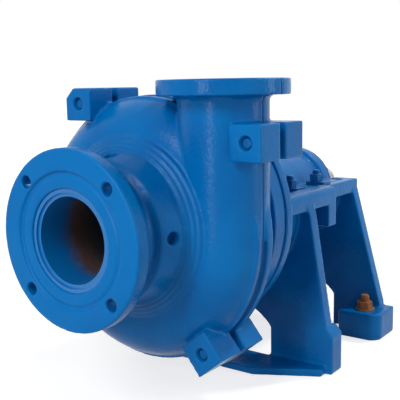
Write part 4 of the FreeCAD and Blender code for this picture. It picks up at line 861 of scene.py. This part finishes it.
@dataclass
class Fasteners:
    """Bolts, studs, nuts and washers, modelled over the plain solids of the same places.

    Each turn is how much further round a nut or head stopped than the one before, in radians.
    """

    coarse_pitch: float = 2.5 * MM
    fine_pitch: float = 2 * MM
    casing_bolt: float = 20 * MM
    casing_head: float = 30 * MM
    casing_head_height: float = 13 * MM
    clamp_bolt: float = 16 * MM
    clamp_flats: float = 24 * MM
    clamp_head_height: float = 10 * MM
    stud_flats: float = 24 * MM
    stud: float = 16 * MM
    gland_stud: float = 15.9 * MM
    adjuster: float = 19.9 * MM
    adjuster_flats: float = 30 * MM
    washer_corner: float = 2.5 * MM
    casing_turn: float = 0.35
    clamp_first_turn: float = 0.3
    clamp_turn: float = 0.5
    frame_turn: float = 0.7
    gland_turn: float = 0.9

    def build(self) -> None:
        """Make every set."""
        self.casing_bolts()
        self.clamps()
        self.frame_studs()
        self.gland_hardware()
        self.adjuster_hardware()

    def casing_bolts(self) -> None:
        """The casing bolts: head at the rear, thread through the gap and a chamfered tip in front."""
        piece = Piece("casing_bolt_set")
        for number, bolt in enumerate(islands("casing_bolts")):
            seat = bolt.end(Way.REAR) + Way.FRONT.value * self.casing_head_height
            length = seat.y - bolt.low.y
            piece.thread(seat, Way.FRONT.value, self.casing_bolt, 0.0, length, self.coarse_pitch)
            piece.hexagon(seat, Way.REAR.value, self.casing_head, self.casing_head_height,
                          turn=self.casing_turn * number)
        piece.finish(Body.FRAME, Slot.ENAMEL, PART_ENAMEL, replaces=["casing_bolts"])

    def clamps(self) -> None:
        """The clamp bolts, their heavy washers and nuts."""
        bolts = Piece("clamp_bolt_set")
        nuts = Piece("clamp_nut_set")
        washers = Piece("clamp_washer_set")
        for number, bolt in enumerate(islands("clamp_bolts")):
            seat = bolt.end(Way.DOWN) + Way.UP.value * self.clamp_head_height
            bolts.hexagon(seat, Way.DOWN.value, self.clamp_flats, self.clamp_head_height)
            bolts.thread(seat, Way.UP.value, self.clamp_bolt, 0.0, bolt.high.z - seat.z,
                         self.fine_pitch)
            nut = islands("clamp_nuts")[number]
            nuts.hexagon(nut.end(Way.DOWN), Way.UP.value, self.clamp_flats,
                         nut.high.z - nut.low.z,
                         turn=self.clamp_first_turn + self.clamp_turn * number)
        for washer in islands("clamp_washers"):
            self.plate(washers, washer, self.washer_corner)
        bolts.finish(Body.FRAME, Slot.ENAMEL, THREAD_ENAMEL, replaces=["clamp_bolts"])
        nuts.finish(Body.FRAME, Slot.ENAMEL, PART_ENAMEL, replaces=["clamp_nuts"])
        washers.finish(Body.FRAME, Slot.ENAMEL, PART_ENAMEL, replaces=["clamp_washers"])

    @staticmethod
    def plate(piece: Piece, island: Island, corner: float) -> None:
        """Add a flat plate with rounded corners and edges, as large as an island."""
        size = island.high - island.low
        made = bmesh.ops.create_cube(piece.mesh, size=1.0)
        bmesh.ops.scale(piece.mesh, vec=size, verts=made["verts"])
        bmesh.ops.translate(piece.mesh, vec=island.centre, verts=made["verts"])
        upright = {edge for vert in made["verts"] for edge in vert.link_edges
                   if abs(edge.verts[0].co.z - edge.verts[1].co.z) > size.z / 2}
        bmesh.ops.bevel(piece.mesh, geom=list(upright), offset=corner, offset_type="OFFSET",
                        segments=4, profile=0.5, affect="EDGES", material=-1)

    def frame_studs(self) -> None:
        """The studs and nuts that hold the frame plate to the base."""
        studs = Piece("frame_stud_set")
        nuts = Piece("frame_nut_set")
        for stud in islands("frame_studs"):
            studs.thread(stud.end(Way.FRONT), Way.REAR.value, self.stud, 0.0,
                         stud.high.y - stud.low.y, self.fine_pitch)
        for number, nut in enumerate(islands("frame_nuts")):
            nuts.hexagon(nut.end(Way.FRONT), Way.REAR.value, self.stud_flats,
                         nut.high.y - nut.low.y, turn=self.frame_turn * number)
        studs.finish(Body.FRAME, Slot.ENAMEL, THREAD_ENAMEL, replaces=["frame_studs"])
        nuts.finish(Body.FRAME, Slot.ENAMEL, PART_ENAMEL, replaces=["frame_nuts"])

    def gland_hardware(self) -> None:
        """The gland's studs, and the nuts that ride on the gland."""
        studs = Piece("gland_stud_set")
        nuts = Piece("gland_nut_set")
        for stud in islands("gland_bolts"):
            studs.thread(stud.end(Way.FRONT), Way.REAR.value, self.gland_stud, 0.0,
                         stud.high.y - stud.low.y, self.fine_pitch)
        for number, nut in enumerate(islands("gland_nuts")):
            nuts.hexagon(nut.end(Way.FRONT), Way.REAR.value, self.stud_flats,
                         nut.high.y - nut.low.y, turn=self.gland_turn * number)
        studs.finish(Body.FRAME, Slot.STEEL, TURNED_STEEL, replaces=["gland_bolts"])
        nuts.finish(Body.GLAND, Slot.ENAMEL, PART_ENAMEL, replaces=["gland_nuts"])

    def adjuster_hardware(self) -> None:
        """The adjusting screw and its two nuts."""
        screw = Piece("adjusting_screw_rod")
        nuts = Piece("adjusting_nut_set")
        rod = islands("adjusting_screw")[0]
        screw.thread(rod.end(Way.FRONT), Way.REAR.value, self.adjuster, 0.0,
                     rod.high.y - rod.low.y, self.coarse_pitch)
        for nut in islands("adjusting_nuts"):
            nuts.hexagon(nut.end(Way.FRONT), Way.REAR.value, self.adjuster_flats,
                         nut.high.y - nut.low.y)
        screw.finish(Body.BEARINGS, Slot.STEEL, TURNED_STEEL, replaces=["adjusting_screw"])
        nuts.finish(Body.NUTS, Slot.ENAMEL, PART_ENAMEL, replaces=["adjusting_nuts"])


@dataclass
class HoldDownBolts:
    """The rusty bolts that hold the feet down."""

    shank: float = 20 * MM
    flats: float = 30 * MM
    nut_height: float = 16 * MM
    proud: float = 14 * MM
    front_seat: float = 50 * MM
    rear_seat: float = 60 * MM
    washer: float = 22 * MM
    washer_thickness: float = 3 * MM
    washer_edge: float = 0.5 * MM
    washer_lift: float = 0.2 * MM
    foot: float = 1 * MM
    pitch: float = 2.5 * MM

    def build(self, record: dict) -> None:
        """Put a bolt, washer and nut in each hole of the base.

        Args:
            record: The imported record, which gives the holes.
        """
        holes = next(mount for mount in record["mounts"] if mount["name"] == "base_bolts")
        across, along = (holes["dims"][f"spacing_{axis}_mm"] * MM / 2 for axis in "xy")
        piece = Piece("hold_down_bolt_set")
        up = Way.UP.value
        for hand in (-1, 1):
            for end, seat_height in ((-1, self.front_seat), (1, self.rear_seat)):
                seat = Vector((hand * across, end * along, seat_height))
                low, top = self.washer_lift, self.washer_thickness
                inner = self.washer - self.washer_edge
                piece.turn([(low, 0.0), (low, inner), (low + self.washer_edge, self.washer),
                            (top - self.washer_edge, self.washer), (top, inner), (top, 0.0)],
                           seat, up)
                piece.hexagon(seat + up * top, up, self.flats, self.nut_height,
                              turn=0.5 + hand + 0.4 * end)
                piece.thread(Vector((seat.x, seat.y, self.foot)), up, self.shank, 0.0,
                             seat_height + top + self.nut_height + self.proud, self.pitch)
        piece.finish(Body.FRAME, Slot.STEEL, RUSTED_STEEL)


# ------------------------------------------------------------------ plain nodes

@dataclass
class PlainNodes:
    """CAD nodes whose shapes are right as they are, and only take a finish."""

    finishes: dict[str, Finish] = field(default_factory=lambda: {
        "volute_liner": HARD_IRON, "frame_plate_insert": HARD_IRON, "impeller": HARD_IRON,
        "lantern_ring": BRONZE, "packing_rings": PACKING, "impeller_oring": RUBBER,
        "shaft": TURNED_STEEL, "shaft_key": TURNED_STEEL, "shaft_sleeve": BEARING_STEEL,
        "release_collar": TURNED_STEEL, "front_labyrinth": TURNED_STEEL,
        "drive_labyrinth": TURNED_STEEL, "bearing_locknut": TURNED_STEEL,
        "front_inner_race": BEARING_STEEL, "drive_inner_race": BEARING_STEEL,
        "front_outer_race": BEARING_STEEL, "drive_outer_race": BEARING_STEEL,
        "front_rollers": BEARING_STEEL, "drive_rollers": BEARING_STEEL,
        "front_cage": BRONZE, "drive_cage": BRONZE, "front_end_cover": PART_ENAMEL,
        "drive_end_cover": PART_ENAMEL, "end_cover_screws": PART_ENAMEL,
        "end_cover_shim": TURNED_STEEL, "grease_nipples": TURNED_STEEL, "cotters": PART_ENAMEL,
    })

    def build(self) -> None:
        """Give each node its finish."""
        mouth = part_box("throat_bush")[0].y
        # the bush's near-black navy colour is painted shade for the deep end of the bore
        bush = OversprayedIron("oversprayed_iron", (0.006, 0.009, 0.016), roughness=0.7,
                               paint=BLUE, mouth=mouth)
        for node, finish in {**self.finishes, "throat_bush": bush}.items():
            data = bpy.data.objects[node].data
            data.materials.clear()
            data.materials.append(finish.material())
            LOG.info("%s takes %s", node, finish.label)


# ------------------------------------------------------------------ floor, light and camera

@dataclass(frozen=True)
class Lamp:
    """A rectangular soft lamp, aimed at a point."""

    name: str
    place: tuple[float, float, float]
    target: tuple[float, float, float]
    size: tuple[float, float]
    power: float

    def build(self) -> None:
        """Hang the lamp, out of the camera's sight."""
        light = bpy.data.lights.new(self.name, "AREA")
        light.shape = "RECTANGLE"
        light.size, light.size_y = self.size
        light.energy = self.power
        lamp = show(self.name, light)
        lamp.location = self.place
        way = Vector(self.target) - Vector(self.place)
        lamp.rotation_euler = way.to_track_quat("-Z", "Y").to_euler()
        lamp.visible_camera = False


LAMPS = (
    Lamp("key", (0.1, -2.8, 2.2), (0.1, -0.3, 0.3), (1.2, 1.0), 44),
    Lamp("front_strip", (0.22, -3.5, 0.85), (0.15, -0.4, 0.5), (0.07, 1.7), 30),
    Lamp("sparkle", (0.9, 1.3, 2.5), (0.05, -0.4, 0.3), (0.24, 0.24), 34),
    Lamp("rear_strip", (2.4, 0.9, 0.95), (0.15, -0.4, 0.4), (0.06, 1.6), 16),
    Lamp("fill", (2.6, -0.6, 1.3), (0, 0, 0.2), (1.6, 1.6), 6),
)


@dataclass
class Studio:
    """The plain pale floor, soft light and camera."""

    azimuth: float = math.radians(36.04)
    elevation: float = math.radians(8.97)
    roll: float = math.radians(-1.01)
    stand: tuple[float, float, float] = (0.8623, -1.4338, 0.5744)
    focal: float = 65.92
    shift: tuple[float, float] = (-0.0085, 0.0059)
    floor_size: float = 30.0
    floor_drop: float = 0.5 * MM
    floor_shade: float = 0.5
    floor_white: float = 0.7
    whitens: tuple[float, float] = (0.8, 3.5)
    ambient: float = 0.3

    def build(self) -> None:
        """Set the floor, lamps, world and camera, and the view."""
        self.floor()
        for lamp in LAMPS:
            lamp.build()
        self.world()
        self.camera()
        bpy.context.scene.view_settings.view_transform = "Standard"

    @staticmethod
    def sight(graph: Graph) -> bpy.types.NodeSocket:
        """Whether a ray is one that shows the surround itself: to the eye, or through gloss."""
        path = graph.add("LightPath").outputs
        gloss = graph.math("MAXIMUM", path["Is Glossy Ray"], path["Is Transmission Ray"])
        return graph.math("MAXIMUM", path["Is Camera Ray"], gloss)

    def floor(self) -> None:
        """A pale floor that keeps the pump's shadow and runs white to the horizon."""
        mesh = bmesh.new()
        bmesh.ops.create_grid(mesh, x_segments=1, y_segments=1, size=self.floor_size)
        bmesh.ops.translate(mesh, vec=(0, 0, -self.floor_drop), verts=mesh.verts)
        data = bpy.data.meshes.new("floor")
        mesh.to_mesh(data)
        mesh.free()
        plane = show("floor", data)
        material = bpy.data.materials.new("pale_floor")
        material.use_nodes = True
        graph = Graph(material.node_tree)
        graph.tree.nodes.clear()
        away = graph.add("VectorMath", {"operation": "LENGTH"})
        graph.plug(away, 0, graph.add("TexCoord").outputs["Object"])
        white = graph.ramp(away.outputs["Value"], *self.whitens, self.floor_white, 1.0)
        shade = graph.add("BsdfDiffuse", Color=(*[self.floor_shade] * 3, 1))
        glow = graph.add("Emission", Color=(1, 1, 1, 1),
                         Strength=graph.math("MULTIPLY", self.sight(graph), white))
        both = graph.add("AddShader")
        graph.plug(both, 0, shade.outputs[0])
        graph.plug(both, 1, glow.outputs[0])
        output = graph.add("OutputMaterial")
        graph.tree.links.new(both.outputs[0], output.inputs["Surface"])
        data.materials.append(material)

    def world(self) -> None:
        """A white surround for the eye and for gloss, and a dimmer one as light."""
        world = bpy.data.worlds.new("surround")
        bpy.context.scene.world = world
        world.use_nodes = True
        graph = Graph(world.node_tree)
        graph.tree.nodes.clear()
        strength = graph.ramp(self.sight(graph), 0.0, 1.0, self.ambient, 1.0)
        back = graph.add("Background", Color=(1, 1, 1, 1), Strength=strength)
        output = graph.tree.nodes.new("ShaderNodeOutputWorld")
        graph.tree.links.new(back.outputs[0], output.inputs["Surface"])

    def camera(self) -> None:
        """A camera that looks along the studio's azimuth and elevation."""
        data = bpy.data.cameras.new("camera")
        data.lens = self.focal
        data.shift_x, data.shift_y = self.shift
        camera = show("camera", data)
        tilt = Matrix.Rotation(math.pi / 2 - self.elevation, 4, "X")
        aim = Matrix.Rotation(self.azimuth, 4, "Z") @ tilt @ Matrix.Rotation(self.roll, 4, "Z")
        camera.matrix_world = Matrix.Translation(self.stand) @ aim
        bpy.context.scene.camera = camera


def main() -> None:
    """Dress the pump and set the studio."""
    logging.basicConfig(level=logging.INFO, format="%(message)s")
    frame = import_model()
    Studio().build()
    Castings().build()
    Fasteners().build()
    HoldDownBolts().build(frame["record"])
    PlainNodes().build()


if __name__ == "__main__":
    main()
